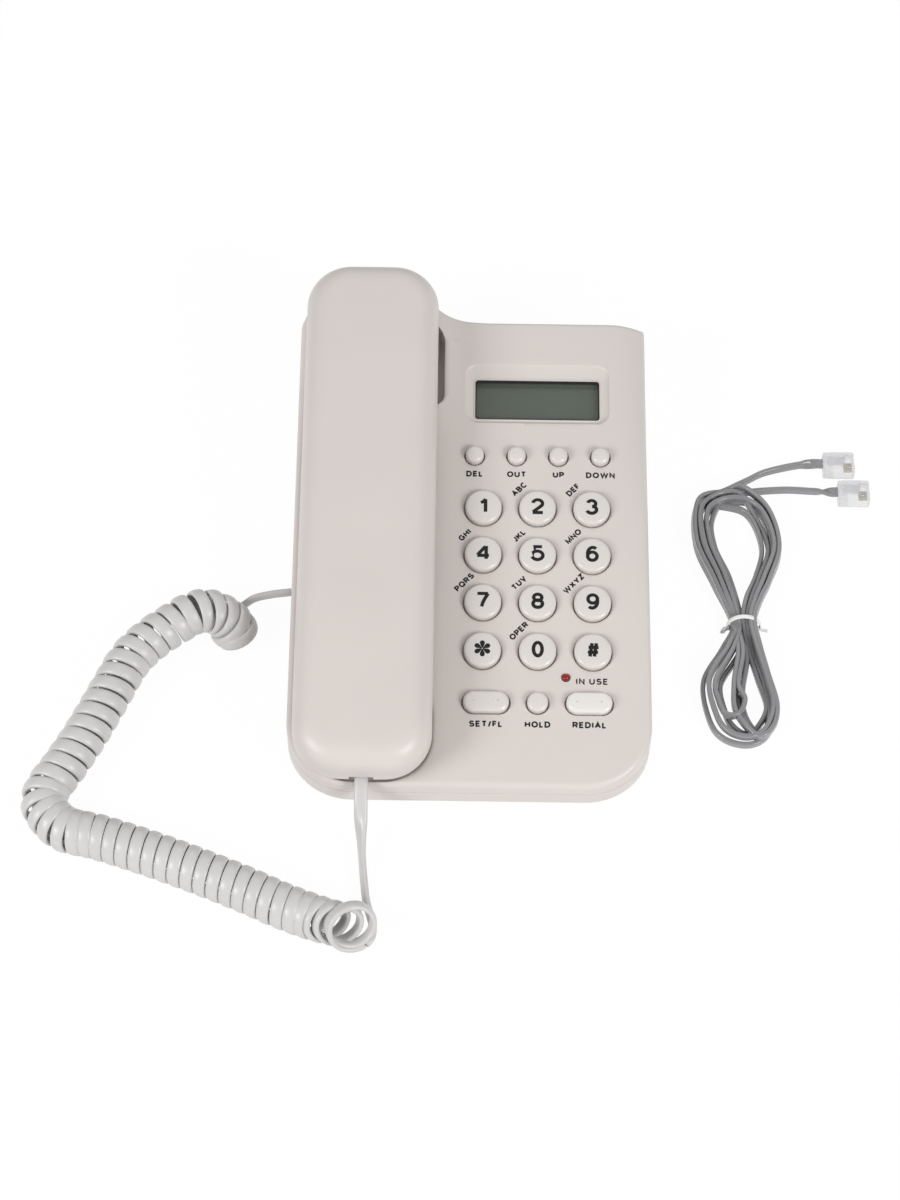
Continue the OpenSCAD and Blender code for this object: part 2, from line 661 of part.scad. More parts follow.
// --- Inside the base ---
module main_board() {
    color(board_colour) difference() {
        union() {
            box([main_board_x[0], main_board_y[0], main_board_z],
                [main_board_x[1], main_board_y[1], main_top_z]);
            translate([ribbon_x - 2.5, ribbon_y - 8.5, main_top_z - EPS]) cube([5, 17, socket_h]);
        }
        for (p = main_screws) translate([p[0], p[1], 0]) cylinder(r = screw_r + FIT, h = 30);
        for (p = case_screw_at) translate([p[0], p[1], 0]) cylinder(r = post_r + 0.4, h = 30);
        translate([ribbon_x - ribbon_t / 2 - 0.3, ribbon_y - 7, main_top_z + 0.6])
            cube([ribbon_t + 0.6, 14, socket_h]);
    }
}

module ringer() {
    color(dark_colour) translate([ringer_at[0], ringer_at[1], floor_z]) cylinder(r = ringer_r, h = ringer_h);
}

module ballast_plate() {
    color(metal_colour) translate([ballast_at[0] - ballast_size[0] / 2, ballast_at[1] - ballast_size[1] / 2,
        floor_z]) cube(ballast_size);
}

module hook_plunger() {
    color(key_colour) on_panel(handset_x, plunger_v, 0) {
        translate([-plunger_size[0] / 2, -plunger_size[1] / 2, hook_flange_w - hook_flange_t])
            cube([plunger_size[0], plunger_size[1], plunger_top_w - hook_flange_w + hook_flange_t]);
        translate([-6, -5, hook_flange_w - hook_flange_t]) cube([12, 10, hook_flange_t]);
        translate([0, 0, hook_rod_end_w])
            cylinder(r = hook_rod_r, h = hook_flange_w - hook_flange_t - hook_rod_end_w + EPS);
    }
}

module hook_spring() {
    top = hook_flange_w - hook_flange_t - spring_wire_r - 0.05;
    low = hook_top_w + spring_wire_r + 0.05;
    turns = 5;
    steps = 14 * turns;
    color(metal_colour) on_panel(handset_x, plunger_v, 0)
        tube([for (i = [0 : steps]) [spring_r * cos(360 * turns * i / steps),
            spring_r * sin(360 * turns * i / steps), low + (top - low) * i / steps]], spring_wire_r, 6);
}

module hook_switch() {
    at = panel_point(handset_x, plunger_v, hook_top_w);
    color(dark_colour) intersection() {
        translate([handset_x - 6, at[1] - 7, main_top_z]) cube([12, 14, 30]);
        on_panel(handset_x - 20, plunger_v - 20, hook_top_w - 40) cube([40, 40, 40]);
    }
}

// A modular jack: its mouth at x = 0, its body towards +X, centred on its socket.
module jack(plug_w) {
    w = plug_w + 2 * plug_gap;
    h = plug_h + 2 * plug_gap;
    difference() {
        translate([0, -w / 2 - jack_wall, -h / 2 - jack_wall])
            cube([jack_l, w + 2 * jack_wall, h + 2 * jack_wall]);
        translate([-1, -w / 2, -h / 2]) cube([plug_l + 1.5, w, h]);
    }
}

// A modular plug: its cord end at x = 0, its nose towards +X.
module plug(plug_w) {
    difference() {
        translate([0, -plug_w / 2, -plug_h / 2]) cube([plug_l, plug_w, plug_h]);
        translate([plug_l - 4, -plug_w / 2 + 1.2, -plug_h / 2 - 1]) cube([3.2, plug_w - 2.4, 1.8]);
    }
}

module line_jack() {
    color(dark_colour) translate([line_jack_x, rear_y, jack_mid_z]) rotate([0, 0, -90]) jack(line_plug_w);
}

module base_cord_jack() {
    color(dark_colour) translate([-half_w, cord_jack_y, jack_mid_z]) jack(small_plug_w);
}

module ribbon_cable() {
    v = panel_v(ribbon_y, main_top_z + 2.2);
    low = panel_w(ribbon_y, main_top_z + 2.2);
    top = board_w - board_t;
    left = ribbon_x - ribbon_t / 2;
    right = key_board_x[0] + 6;
    color("#b8b8bc") on_panel(0, v + ribbon_w / 2, 0) rotate([90, 0, 0]) linear_extrude(height = ribbon_w)
        polygon([[left, low], [left + ribbon_t, low], [left + ribbon_t, low + 4],
            [right, low + 5.5], [right, top], [right - ribbon_t, top],
            [right - ribbon_t, low + 6.4], [left, low + 4.9]]);
}

// --- Handset ---
module back_form(inset) {
    hull() {
        for (s = [-1, 1]) {
            translate([s * (handset_w / 2 - handset_front_r), -handset_l / 2 + handset_front_r,
                back_h - inset])
                puck(handset_front_r - inset, back_edge - inset, 0.8 * back_edge - inset, back_h - inset,
                    HANDSET_FN);
            translate([s * (handset_w / 2 - handset_rear_r), handset_l / 2 - handset_rear_r,
                back_h - inset])
                puck(handset_rear_r - inset, back_edge - inset, 0.8 * back_edge - inset, back_h - inset,
                    HANDSET_FN);
        }
    }
}

module handset_back_shell() {
    color(shell_colour) difference() {
        union() {
            difference() {
                on_handset() back_form(0);
                on_handset(0, 0, -EPS) back_form(shell_t);
            }
            for (y = handset_boss_y) on_handset(0, y, 0)
                cylinder(r = handset_boss_r, h = back_h - shell_t + 0.5);
        }
        for (y = handset_boss_y) on_handset(0, y, -EPS) cylinder(r = screw_r + FIT, h = 7);
    }
}

// The outline of a cup, in by inset, from z = low to z = high.
module cup(size, y, r, inset, low, high) {
    on_handset(0, y, low) slab(size[0] - 2 * inset, size[1] - 2 * inset, high - low, r - inset, r - inset);
}

module handset_front_shell() {
    floor_t = 1.6;
    jack_side = small_plug_w + 2 * (jack_wall + plug_gap + FIT);
    jack_height = plug_h + 2 * (jack_wall + plug_gap + FIT);
    color(shell_colour) difference() {
        union() {
            difference() {
                union() {
                    on_handset(0, 0, -slab_t)
                        slab(handset_w, handset_l, slab_t, handset_front_r, handset_rear_r);
                    cup(ear_cup, ear_cup_y, ear_cup_r, 0, ear_cup_z, -slab_t + EPS);
                    cup(mouth_cup, mouth_cup_y, mouth_cup_r, 0, mouth_cup_z, -slab_t + EPS);
                }
                on_handset(0, 0, -slab_t + floor_t) slab(handset_w - 2 * shell_t, handset_l - 2 * shell_t,
                    slab_t, handset_front_r - shell_t, handset_rear_r - shell_t);
                cup(ear_cup, ear_cup_y, ear_cup_r, cup_wall, ear_cup_z + cup_wall, 1);
                cup(mouth_cup, mouth_cup_y, mouth_cup_r, cup_wall, mouth_cup_z + cup_wall, 1);
            }
            on_handset(0, ear_cup_y, ear_cup_z + 1) difference() {
                intersection() {
                    cylinder(r = receiver_d / 2 + 1.2, h = 4);
                    translate([-30, -ear_cup[1] / 2, 0]) cube([60, ear_cup[1], 20]);
                }
                translate([0, 0, -1]) cylinder(r = receiver_d / 2 + FIT, h = 20);
            }
            for (y = handset_boss_y) on_handset(0, y, -slab_t) cylinder(r = handset_boss_r, h = slab_t);
        }
        // the ring of sound holes, the microphone hole and the screw holes
        on_handset(0, ear_cup_y, ear_cup_z - 1) {
            cylinder(r = 1, h = 5);
            for (a = [0 : 60 : 300]) rotate([0, 0, a]) translate([5, 0, 0]) cylinder(r = 1, h = 5);
        }
        on_handset(0, microphone_y, mouth_cup_z - 1) cylinder(r = 1, h = 5);
        for (y = handset_boss_y) on_handset(0, y, -slab_t - 1) {
            cylinder(r = screw_r + 0.15, h = 10);
            cylinder(r = handset_head[0] + 0.15, h = handset_head[1] + 1);
        }
        on_handset(-cord_notch_w / 2, -handset_l / 2 - 1, -slab_t - 1)
            cube([cord_notch_w, 8, slab_t + 2]);
        on_handset(-jack_side / 2, mouth_cup_y - mouth_cup[1] / 2 - 1, handset_jack_z - jack_height / 2)
            cube([jack_side, cup_wall + 2, jack_height + 2]);
    }
}

module handset_screws() {
    color(metal_colour) for (y = handset_boss_y) on_handset(0, y, -slab_t)
        screw(screw_r, handset_head[0], handset_head[1], slab_t + 5);
}

module receiver() {
    color(dark_colour) on_handset(0, ear_cup_y, ear_cup_z + cup_wall + seal_t) intersection() {
        cylinder(r = receiver_d / 2, h = receiver_h);
        translate([-30, -ear_cup[1] / 2 + cup_wall + 0.1, 0])
            cube([60, ear_cup[1] - 2 * cup_wall - 0.2, 20]);
    }
}

module receiver_seal() {
    color("#3a3a3c") on_handset(0, ear_cup_y, ear_cup_z + cup_wall) difference() {
        cylinder(r = 12.5, h = seal_t);
        translate([0, 0, -1]) cylinder(r = 8.5, h = 5);
    }
}

module microphone_boot() {
    color(dark_colour) on_handset(0, microphone_y, mouth_cup_z + cup_wall) difference() {
        cylinder(r = boot_r, h = microphone_h + 1);
        translate([0, 0, -1]) cylinder(r = 1.5, h = 5);
        translate([0, 0, 1]) cylinder(r = microphone_d / 2 + FIT, h = 20);
    }
}

module microphone() {
    color(metal_colour) on_handset(0, microphone_y, mouth_cup_z + cup_wall + 1)
        cylinder(r = microphone_d / 2, h = microphone_h);
}

module handset_weight() {
    color(metal_colour) on_handset(-weight_size[0] / 2, -25, -slab_t + 1.6) cube(weight_size);
}

module handset_cord_jack() {
    color(dark_colour) on_handset(0, mouth_cup_y - mouth_cup[1] / 2, handset_jack_z)
        rotate([0, 0, 90]) jack(small_plug_w);
}

module handset_cord_plug() {
    color(clear_colour) on_handset(0, mouth_cup_y - mouth_cup[1] / 2 - 0.6, handset_jack_z)
        rotate([0, 0, 90]) plug(small_plug_w);
}

module base_cord_plug() {
    color(clear_colour) translate([-half_w - 0.6, cord_jack_y, jack_mid_z]) plug(small_plug_w);
}

// --- Cords ---
module curly_cord() {
    color(cord_colour) tube([for (p = CURL_ROUTE) [p[0], p[1], curl_d / 2]], curl_d / 2, 12);
}

module base_cord_tail() {
    first = [-half_w - 0.6, cord_jack_y, jack_mid_z];
    color(cord_colour) tube(concat([first, first - [2, 0, 0]], BASE_TAIL_ROUTE), cord_w / 2, 10);
}

module handset_cord_tail() {
    y = handset_v + mouth_cup_y - mouth_cup[1] / 2 - 0.6;
    color(cord_colour) tube(concat([panel_point(handset_x, y, seam_w + handset_jack_z),
        panel_point(handset_x, y - 5, seam_w + handset_jack_z)], HANDSET_TAIL_ROUTE), cord_w / 2, 10);
}

module line_cord_hank() {
    color(line_colour) difference() {
        linear_extrude(height = hank_h) {
            hull() {
                translate(hank_top) circle(r = hank_top_r);
                translate(hank_waist) circle(r = hank_waist_r);
            }
            hull() {
                translate(hank_foot) circle(r = hank_foot_r);
                translate(hank_waist) circle(r = hank_waist_r);
            }
        }
        difference() {
            translate([hank_waist[0] - 20, hank_waist[1] - tie_w / 2 - 0.1, -1])
                cube([40, tie_w + 0.2, hank_h + 2]);
            translate([hank_waist[0] - hank_waist_r + tie_t, hank_waist[1] - 5, tie_t])
                cube([2 * (hank_waist_r - tie_t), 10, hank_h - 2 * tie_t]);
        }
    }
}

module cord_tie() {
    color("#f0f0ee") {
        difference() {
            translate([hank_waist[0] - hank_waist_r - 0.4, hank_waist[1] - tie_w / 2, 0])
                cube([2 * hank_waist_r + 0.8, tie_w, hank_h]);
            translate([hank_waist[0] - hank_waist_r + tie_t - 0.05, hank_waist[1] - 5, tie_t - 0.05])
                cube([2 * (hank_waist_r - tie_t) + 0.1, 10, hank_h - 2 * tie_t + 0.1]);
        }
        translate([hank_waist[0] + hank_waist_r, hank_waist[1] - tie_w / 2, 1]) cube([4, tie_w, 1.2]);
        translate([hank_waist[0] - hank_waist_r - 4, hank_waist[1] - tie_w / 2, 1]) cube([4, tie_w, 1.2]);
    }
}

module line_cord_tails() {
    z = plug_h / 2 + 0.3;
    color(line_colour) for (t = [[LINE_TAIL_A, line_plug_a_at], [LINE_TAIL_B, line_plug_b_at]])
        tube(concat(t[0], [[t[1][0] - 5, t[1][1], z - 0.3], [t[1][0] - 2, t[1][1], z],
            [t[1][0], t[1][1], z]]), line_cord_w / 2, 8);
}

module line_plug(at) {
    color(clear_colour) translate([at[0], at[1], plug_h / 2]) plug(line_plug_w);
}

module line_plug_a() {
    line_plug(line_plug_a_at);
}

module line_plug_b() {
    line_plug(line_plug_b_at);
}

// --- One line for each sub-part ---
upper_case();
lower_case();
rubber_feet();
case_screws();
display_window();
lcd_panel();
lcd_holder();
lcd_connector();
key_board();
main_board();
board_screws();
key_membrane();
for (i = [0 : 11]) digit_key(i);
for (i = [0 : 3]) function_button(i);
key_set();
key_hold();
key_redial();
in_use_lamp();
ringer();
hook_plunger();
hook_spring();
hook_switch();
line_jack();
base_cord_jack();
ballast_plate();
ribbon_cable();
handset_back_shell();
handset_front_shell();
receiver();
receiver_seal();
microphone();
microphone_boot();
handset_weight();
handset_cord_jack();
handset_screws();
curly_cord();
base_cord_tail();
handset_cord_tail();
base_cord_plug();
handset_cord_plug();
line_cord_hank();
line_cord_tails();
line_plug_a();
line_plug_b();
cord_tie();
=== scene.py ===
"""A corded desk telephone: base with keys and display, handset on a curly cord, tied line cord."""
import math

import bmesh
import bpy
from mathutils import Matrix, Vector


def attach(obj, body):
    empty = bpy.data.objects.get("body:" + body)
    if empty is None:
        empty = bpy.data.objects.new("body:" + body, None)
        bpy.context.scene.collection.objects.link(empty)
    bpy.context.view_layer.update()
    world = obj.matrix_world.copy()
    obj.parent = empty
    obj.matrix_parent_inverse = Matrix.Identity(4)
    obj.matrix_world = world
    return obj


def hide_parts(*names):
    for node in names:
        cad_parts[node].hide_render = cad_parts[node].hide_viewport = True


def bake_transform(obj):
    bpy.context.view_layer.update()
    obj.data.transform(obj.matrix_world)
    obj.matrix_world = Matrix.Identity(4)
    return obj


bl_info = {
    "name": "Corded Desk Telephone",
    "version": (1, 0, 0),
    "blender": (4, 5, 0),
    "location": "View3D > Sidebar > Telephone",
    "description": "Dresses the packed solids of a corded desk telephone",
    "category": "Object",
}

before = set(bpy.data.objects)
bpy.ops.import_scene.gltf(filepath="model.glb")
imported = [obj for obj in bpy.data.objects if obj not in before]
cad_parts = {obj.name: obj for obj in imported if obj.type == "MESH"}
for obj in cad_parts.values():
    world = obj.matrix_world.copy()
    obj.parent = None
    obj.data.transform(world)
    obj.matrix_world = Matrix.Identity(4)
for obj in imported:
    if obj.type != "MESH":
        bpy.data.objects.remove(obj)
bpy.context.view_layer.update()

# --- Places and sizes, in millimetres in the shared frame ---
MM = 0.001
TILT = math.radians(8)
KEY_Y, KEY_Z = -20.0, 25.032  # middle of the number keys, on the panel
HALF_W, FRONT_Y, REAR_Y = 65.5, -99.5, 86.5
PART_Z, WALL = 8.0, 2.2
FRONT_R, REAR_R, EDGE_R = 24.0, (3.5, 1.8), 1.8
CROWN_W, CROWN_H = 14.0, 4.6
KEYS_X, PITCH_X, PITCH_V = 24.4, 20.0, 19.05
HANDSET_X, HANDSET_V, SEAM_W = -38.0, 21.3, 7.0
PANEL = Matrix.Translation((0, KEY_Y * MM, KEY_Z * MM)) @ Matrix.Rotation(TILT, 4, "X")
HANDSET = PANEL @ Matrix.Translation((HANDSET_X * MM, HANDSET_V * MM, SEAM_W * MM))
HERE = Matrix.Identity(4)
LEAST_FACES = 6  # a solid that a cut leaves with fewer has gone wrong
UP = Vector((0, 0, 1))


# --- Shapes ---
def clamp(value, low=0.0, high=1.0):
    """The value, held between low and high."""
    return min(max(value, low), high)


def ease(t):
    """A smooth step from 0 to 1 as t goes from 0 to 1."""
    t = clamp(t)
    return t * t * (3 - 2 * t)


def through(points, at):
    """The smooth curve through points (a, b), read at a = at, with no overshoot."""
    if at <= points[0][0]:
        return points[0][1]
    if at >= points[-1][0]:
        return points[-1][1]
    i = next(k for k in range(len(points) - 1) if at <= points[k + 1][0])
    rise = [(q[1] - p[1]) / (q[0] - p[0]) for p, q in zip(points, points[1:])]

    def slope(k):
        if k == 0 or k == len(rise) or rise[k - 1] * rise[k] <= 0:
            return 0.0
        return 2 * rise[k - 1] * rise[k] / (rise[k - 1] + rise[k])

    (a, b), (c, d) = points[i], points[i + 1]
    t = (at - a) / (c - a)
    s = 1 - t
    return (b * s * s * (1 + 2 * t) + d * t * t * (3 - 2 * t)
            + (c - a) * (slope(i) * t * s * s - slope(i + 1) * t * t * s))


def rounded(edge, reach, depth, power=2.0):
    """How far a rounded edge lies below its top, edge in from the side."""
    if edge >= reach:
        return 0.0
    t = clamp(1 - edge / reach)
    return depth * (1 - (1 - t ** power) ** (1 / power))


def outline(x0, x1, y0, y1, r_front, r_rear, arc=6, across=1, along=1):
    """A counter-clockwise outline with round corners, as points from the front-left corner."""
    left, right = r_rear if isinstance(r_rear, tuple) else (r_rear, r_rear)
    corners = [(x0 + r_front, y0 + r_front, r_front, 225), (x1 - r_front, y0 + r_front, r_front, 315),
               (x1 - right, y1 - right, right, 45), (x0 + left, y1 - left, left, 135)]

    def on(corner, angle):
        x, y, r, _ = corner
        return (x + r * math.cos(math.radians(angle)), y + r * math.sin(math.radians(angle)))

    points = []
    for i, corner in enumerate(corners):
        after = corners[(i + 1) % 4]
        points += [on(corner, corner[3] + 45 * k / arc) for k in range(arc)]
        a, b = on(corner, corner[3] + 45), on(after, after[3] - 45)
        count = across if i % 2 == 0 else along
        points += [(a[0] + (b[0] - a[0]) * k / count, a[1] + (b[1] - a[1]) * k / count) for k in range(count)]
        points += [on(after, after[3] - 45 + 45 * k / arc) for k in range(arc)]
    return points


def box_outline(middle, size, r, grow=0.0, rear=None, **counts):
    """The outline of a plate by its middle and size, grown on every side."""
    a, b = size[0] / 2 + grow, size[1] / 2 + grow
    front, rear = (min(max(value + grow, 0.15), a, b) for value in (r, r if rear is None else rear))
    return outline(middle[0] - a, middle[0] + a, middle[1] - b, middle[1] + b, front, rear, **counts)


def loft(rings, ends=(True, True)):
    """Points and faces of a skin over rings that have the same number of points."""
    n = len(rings[0])
    points = [p for ring in rings for p in ring]
    faces = [(i * n + k, i * n + (k + 1) % n, (i + 1) * n + (k + 1) % n, (i + 1) * n + k)
             for i in range(len(rings) - 1) for k in range(n)]
    if ends[0]:
        faces.append(tuple(range(n - 1, -1, -1)))
    if ends[1]:
        faces.append(tuple(range((len(rings) - 1) * n, len(rings) * n)))
    return points, faces


def level(points, z):
    """A flat outline's points, raised to one height."""
    return [(x, y, z) for x, y in points]


def turned(profile, steps=48):
    """A solid of revolution round z. profile is (radius, z) from one end to the other."""
    return loft([[(r * math.cos(math.tau * k / steps), r * math.sin(math.tau * k / steps), z)
                  for k in range(steps)] for r, z in profile])


def shifted(shape, x=0.0, y=0.0, z=0.0):
    """The shape, moved."""
    points, faces = shape
    return [(p[0] + x, p[1] + y, p[2] + z) for p in points], faces


def together(shapes):
    """Several shapes as one."""
    points, faces = [], []
    for more, skin in shapes:
        faces += [tuple(i + len(points) for i in face) for face in skin]
        points += list(more)
    return points, faces


def capped(rings, across, along, height):
    """A skin over rings, closed at its top by a grid whose heights come from height(x, y)."""
    points, faces = loft(rings, ends=(False, False))
    edge = rings[-1]
    first = len(points) - len(edge)
    a, b = across, along
    front, right = edge[:a + 1], edge[a:a + b + 1]
    rear, left = edge[a + b:2 * a + b + 1][::-1], (edge[2 * a + b:] + edge[:1])[::-1]
    index = {}
    for i in range(a + 1):
        index[i, 0], index[i, b] = first + i, first + 2 * a + b - i
    for j in range(b + 1):
        index[a, j], index[0, j] = first + a + j, first + (2 * a + 2 * b - j) % (2 * a + 2 * b)
    for j in range(1, b):
        v = j / b
        for i in range(1, a):
            u = i / a
            x, y = ((1 - v) * front[i][c] + v * rear[i][c] + (1 - u) * left[j][c] + u * right[j][c]
                    - (1 - u) * (1 - v) * front[0][c] - u * (1 - v) * front[a][c]
                    - (1 - u) * v * rear[0][c] - u * v * rear[a][c] for c in (0, 1))
            index[i, j] = len(points)
            points.append((x, y, height(x, y)))
    faces += [(index[i, j], index[i + 1, j], index[i + 1, j + 1], index[i, j + 1])
              for i in range(a) for j in range(b)]
    return points, faces


def pins(places, radius, low, high, steps):
    """One upright cylinder at each place (x, y)."""
    return together([shifted(turned([(radius, low), (radius, high)], steps), x, y) for x, y in places])


def moved(x, y, z=0.0):
    """A move by millimetres, as a matrix in metres."""
    return Matrix.Translation((x * MM, y * MM, z * MM))


def closed(shape, ring):
    """The shape with a flat face over its first ring, which has that many points."""
    points, faces = shape
    return points, faces + [tuple(range(ring - 1, -1, -1))]


def piece(name, shape, place=HERE, sharp=35):
    """A new object from a shape in millimetres, moved by place."""
    mesh = bpy.data.meshes.new(name)
    mesh.from_pydata([place @ (Vector(p) * MM) for p in shape[0]], [], shape[1])
    work = bmesh.new()
    work.from_mesh(mesh)
    bmesh.ops.recalc_face_normals(work, faces=work.faces)
    work.to_mesh(mesh)
    work.free()
    smooth(mesh, sharp)
    return placed(name, mesh)


def placed(name, data):
    """A new object in the scene that shows the mesh, lamp or camera."""
    obj = bpy.data.objects.new(name, data)
    bpy.context.scene.collection.objects.link(obj)
    return obj


def smooth(mesh, sharp):
    """Smooth shading, broken at edges sharper than that many degrees."""
    mesh.shade_smooth()
    mesh.set_sharp_from_angle(angle=math.radians(sharp))


def reshape(obj, shape, operation="DIFFERENCE", place=HERE, sharp=35):
    """Cuts the shape, or another object, from obj, or joins it on."""
    tool = shape if isinstance(shape, bpy.types.Object) else piece(obj.name + "_tool", shape, place)
    modifier = obj.modifiers.new("shape", "BOOLEAN")
    modifier.operation, modifier.solver, modifier.object = operation, "MANIFOLD", tool
    graph = bpy.context.evaluated_depsgraph_get()
    mesh = bpy.data.meshes.new_from_object(obj.evaluated_get(graph))
    obj.modifiers.clear()
    if len(mesh.polygons) < LEAST_FACES:
        raise RuntimeError(f"{obj.name}: the {operation.lower()} left nothing")
    obj.data = mesh
    bpy.data.objects.remove(tool)
    smooth(mesh, sharp)


def dress(obj, material):
    """Gives a piece its one material."""
    obj.data.materials.clear()
    obj.data.materials.append(material)


def finish(obj, body, material, slot, *nodes):
    """Gives a piece its material, body and the nodes that it stands for, which it hides. Its slot is not
    used.
    """
    dress(obj, material)
    if body:
        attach(obj, body)
    if nodes:
        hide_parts(*nodes)


# --- Materials ---
def linear(hex_colour, alpha=1.0):
    """A linear colour from an sRGB hex value."""
    value = [int(hex_colour[i:i + 2], 16) / 255 for i in (1, 3, 5)]
    return tuple(c / 12.92 if c <= 0.04045 else ((c + 0.055) / 1.055) ** 2.4 for c in value) + (alpha,)


def add_node(tree, kind, settings=None, links=None):
    """A node with its settings, by property or socket name, and its inputs' links."""
    node = tree.nodes.new(kind)
    for key, value in (settings or {}).items():
        if isinstance(key, str) and hasattr(node, key):
            setattr(node, key, value)
        else:
            node.inputs[key].default_value = value
    for key, source in (links or {}).items():
        tree.links.new(source, node.inputs[key])
    return node


def new_material(name):
    """An empty node material, and its tree and object coordinates in metres."""
    material = bpy.data.materials.new(name)
    material.use_nodes = True
    tree = material.node_tree
    tree.nodes.clear()
    place = add_node(tree, "ShaderNodeTexCoord").outputs["Object"]
    return material, tree, place


def per_metre(millimetres):
    """A texture scale whose features are about that many millimetres across."""
    return 1000 / millimetres


def moulded(name, colour, roughness, grain=0.35, grain_height=0.012, mottle=0.02, coat=0.0, sheen=0.0,
            subsurface=0.0):
    """A moulded plastic or rubber: its colour with a faint mottle, and a fine grain from the mould."""
    # The real grain is near 0.05 mm. It is drawn coarser, so that it shows.
    material, tree, place = new_material(name)
    broad = add_node(tree, "ShaderNodeTexNoise", {"Scale": per_metre(38), "Detail": 3.0}, {"Vector": place})
    tint = add_node(tree, "ShaderNodeValToRGB", links={"Fac": broad.outputs["Fac"]})
    for stop, share, position in zip(tint.color_ramp.elements, (1 - mottle, 1 + mottle), (0.35, 0.65)):
        stop.color = [min(c * share, 1) for c in linear(colour)[:3]] + [1]
        stop.position = position
    fine = add_node(tree, "ShaderNodeTexNoise", {"Scale": per_metre(grain), "Detail": 2.0},
                    {"Vector": place})
    rough = add_node(tree, "ShaderNodeMapRange", {"To Min": roughness - 0.04, "To Max": roughness + 0.05},
                     {"Value": fine.outputs["Fac"]})
    bump = add_node(tree, "ShaderNodeBump", {"Strength": 0.35, "Distance": grain_height * MM},
                    {"Height": fine.outputs["Fac"]})
    shader = add_node(tree, "ShaderNodeBsdfPrincipled",
                      {"IOR": 1.5, "Coat Weight": coat, "Coat Roughness": 0.12, "Sheen Weight": sheen,
                       "Subsurface Weight": subsurface, "Subsurface Scale": 0.002},
                      {"Base Color": tint.outputs["Color"], "Roughness": rough.outputs["Result"],
                       "Normal": bump.outputs["Normal"]})
    add_node(tree, "ShaderNodeOutputMaterial", links={"Surface": shader.outputs["BSDF"]})
    return material


def metal(name, colour, roughness, lines=0.25):
    """A bare or plated metal with fine drawn lines along z."""
    # The real lines are near 0.02 mm apart. They are drawn coarser, so that they show.
    material, tree, place = new_material(name)
    stretch = add_node(tree, "ShaderNodeMapping", {"Scale": (1, 1, 0.05)}, {"Vector": place})
    drawn = add_node(tree, "ShaderNodeTexNoise", {"Scale": per_metre(lines), "Detail": 2.0},
                     {"Vector": stretch.outputs["Vector"]})
    rough = add_node(tree, "ShaderNodeMapRange", {"To Min": roughness - 0.06, "To Max": roughness + 0.1},
                     {"Value": drawn.outputs["Fac"]})
    shader = add_node(tree, "ShaderNodeBsdfPrincipled", {"Base Color": linear(colour), "Metallic": 1.0},
                      {"Roughness": rough.outputs["Result"]})
    add_node(tree, "ShaderNodeOutputMaterial", links={"Surface": shader.outputs["BSDF"]})
    return material


def clear(name, colour, alpha, roughness=0.06):
    """A clear moulded plastic that shows what lies behind it, with faint flow marks in its gloss."""
    material, tree, place = new_material(name)
    flow = add_node(tree, "ShaderNodeTexNoise", {"Scale": per_metre(6), "Detail": 1.0}, {"Vector": place})
    rough = add_node(tree, "ShaderNodeMapRange", {"To Min": roughness * 0.6, "To Max": roughness * 1.6},
                     {"Value": flow.outputs["Fac"]})
    shader = add_node(tree, "ShaderNodeBsdfPrincipled",
                      {"Base Color": linear(colour), "Alpha": alpha, "IOR": 1.58, "Specular IOR Level": 0.7},
                      {"Roughness": rough.outputs["Result"]})
    add_node(tree, "ShaderNodeOutputMaterial", links={"Surface": shader.outputs["BSDF"]})
    return material


def circuit(name, mask, copper):
    """An FR-4 board: green solder mask over tracks that show as a slightly lighter pattern."""
    material, tree, place = new_material(name)
    tracks = add_node(tree, "ShaderNodeTexBrick",
                      {"Scale": per_metre(24), "Color1": linear(mask), "Color2": linear(mask),
                       "Mortar": linear(copper), "Mortar Size": 0.012, "Brick Width": 0.31,
                       "Row Height": 0.12}, {"Vector": place})
    shader = add_node(tree, "ShaderNodeBsdfPrincipled", {"Roughness": 0.38, "Coat Weight": 0.3},
                      {"Base Color": tracks.outputs["Color"]})
    add_node(tree, "ShaderNodeOutputMaterial", links={"Surface": shader.outputs["BSDF"]})
    return material


def display_glass(name, field, edge):
    """The liquid-crystal cell: grey-green reflective glass, with rows and columns too faint to read."""
    material, tree, place = new_material(name)
    broad = add_node(tree, "ShaderNodeTexNoise", {"Scale": per_metre(60), "Detail": 1.0}, {"Vector": place})
    tint = add_node(tree, "ShaderNodeValToRGB", links={"Fac": broad.outputs["Fac"]})
    for stop, colour, position in zip(tint.color_ramp.elements, (edge, field), (0.3, 0.6)):
        stop.color, stop.position = linear(colour), position
    cells = add_node(tree, "ShaderNodeTexBrick",
                     {"Scale": per_metre(3), "Color1": (1, 1, 1, 1), "Color2": (0.985, 0.985, 0.985, 1),
                      "Mortar": (0.93, 0.93, 0.93, 1), "Mortar Size": 0.01, "Brick Width": 1.0,
                      "Row Height": 1.6, "offset": 0.0}, {"Vector": place})
    mixed = add_node(tree, "ShaderNodeMix", {"data_type": "RGBA", "blend_type": "MULTIPLY", "Factor": 1.0},
                     {6: tint.outputs["Color"], 7: cells.outputs["Color"]})
    shader = add_node(tree, "ShaderNodeBsdfPrincipled", {"Roughness": 0.22, "Coat Weight": 0.6,
                                                        "Coat Roughness": 0.08},
                      {"Base Color": mixed.outputs[2]})
    add_node(tree, "ShaderNodeOutputMaterial", links={"Surface": shader.outputs["BSDF"]})
    return material


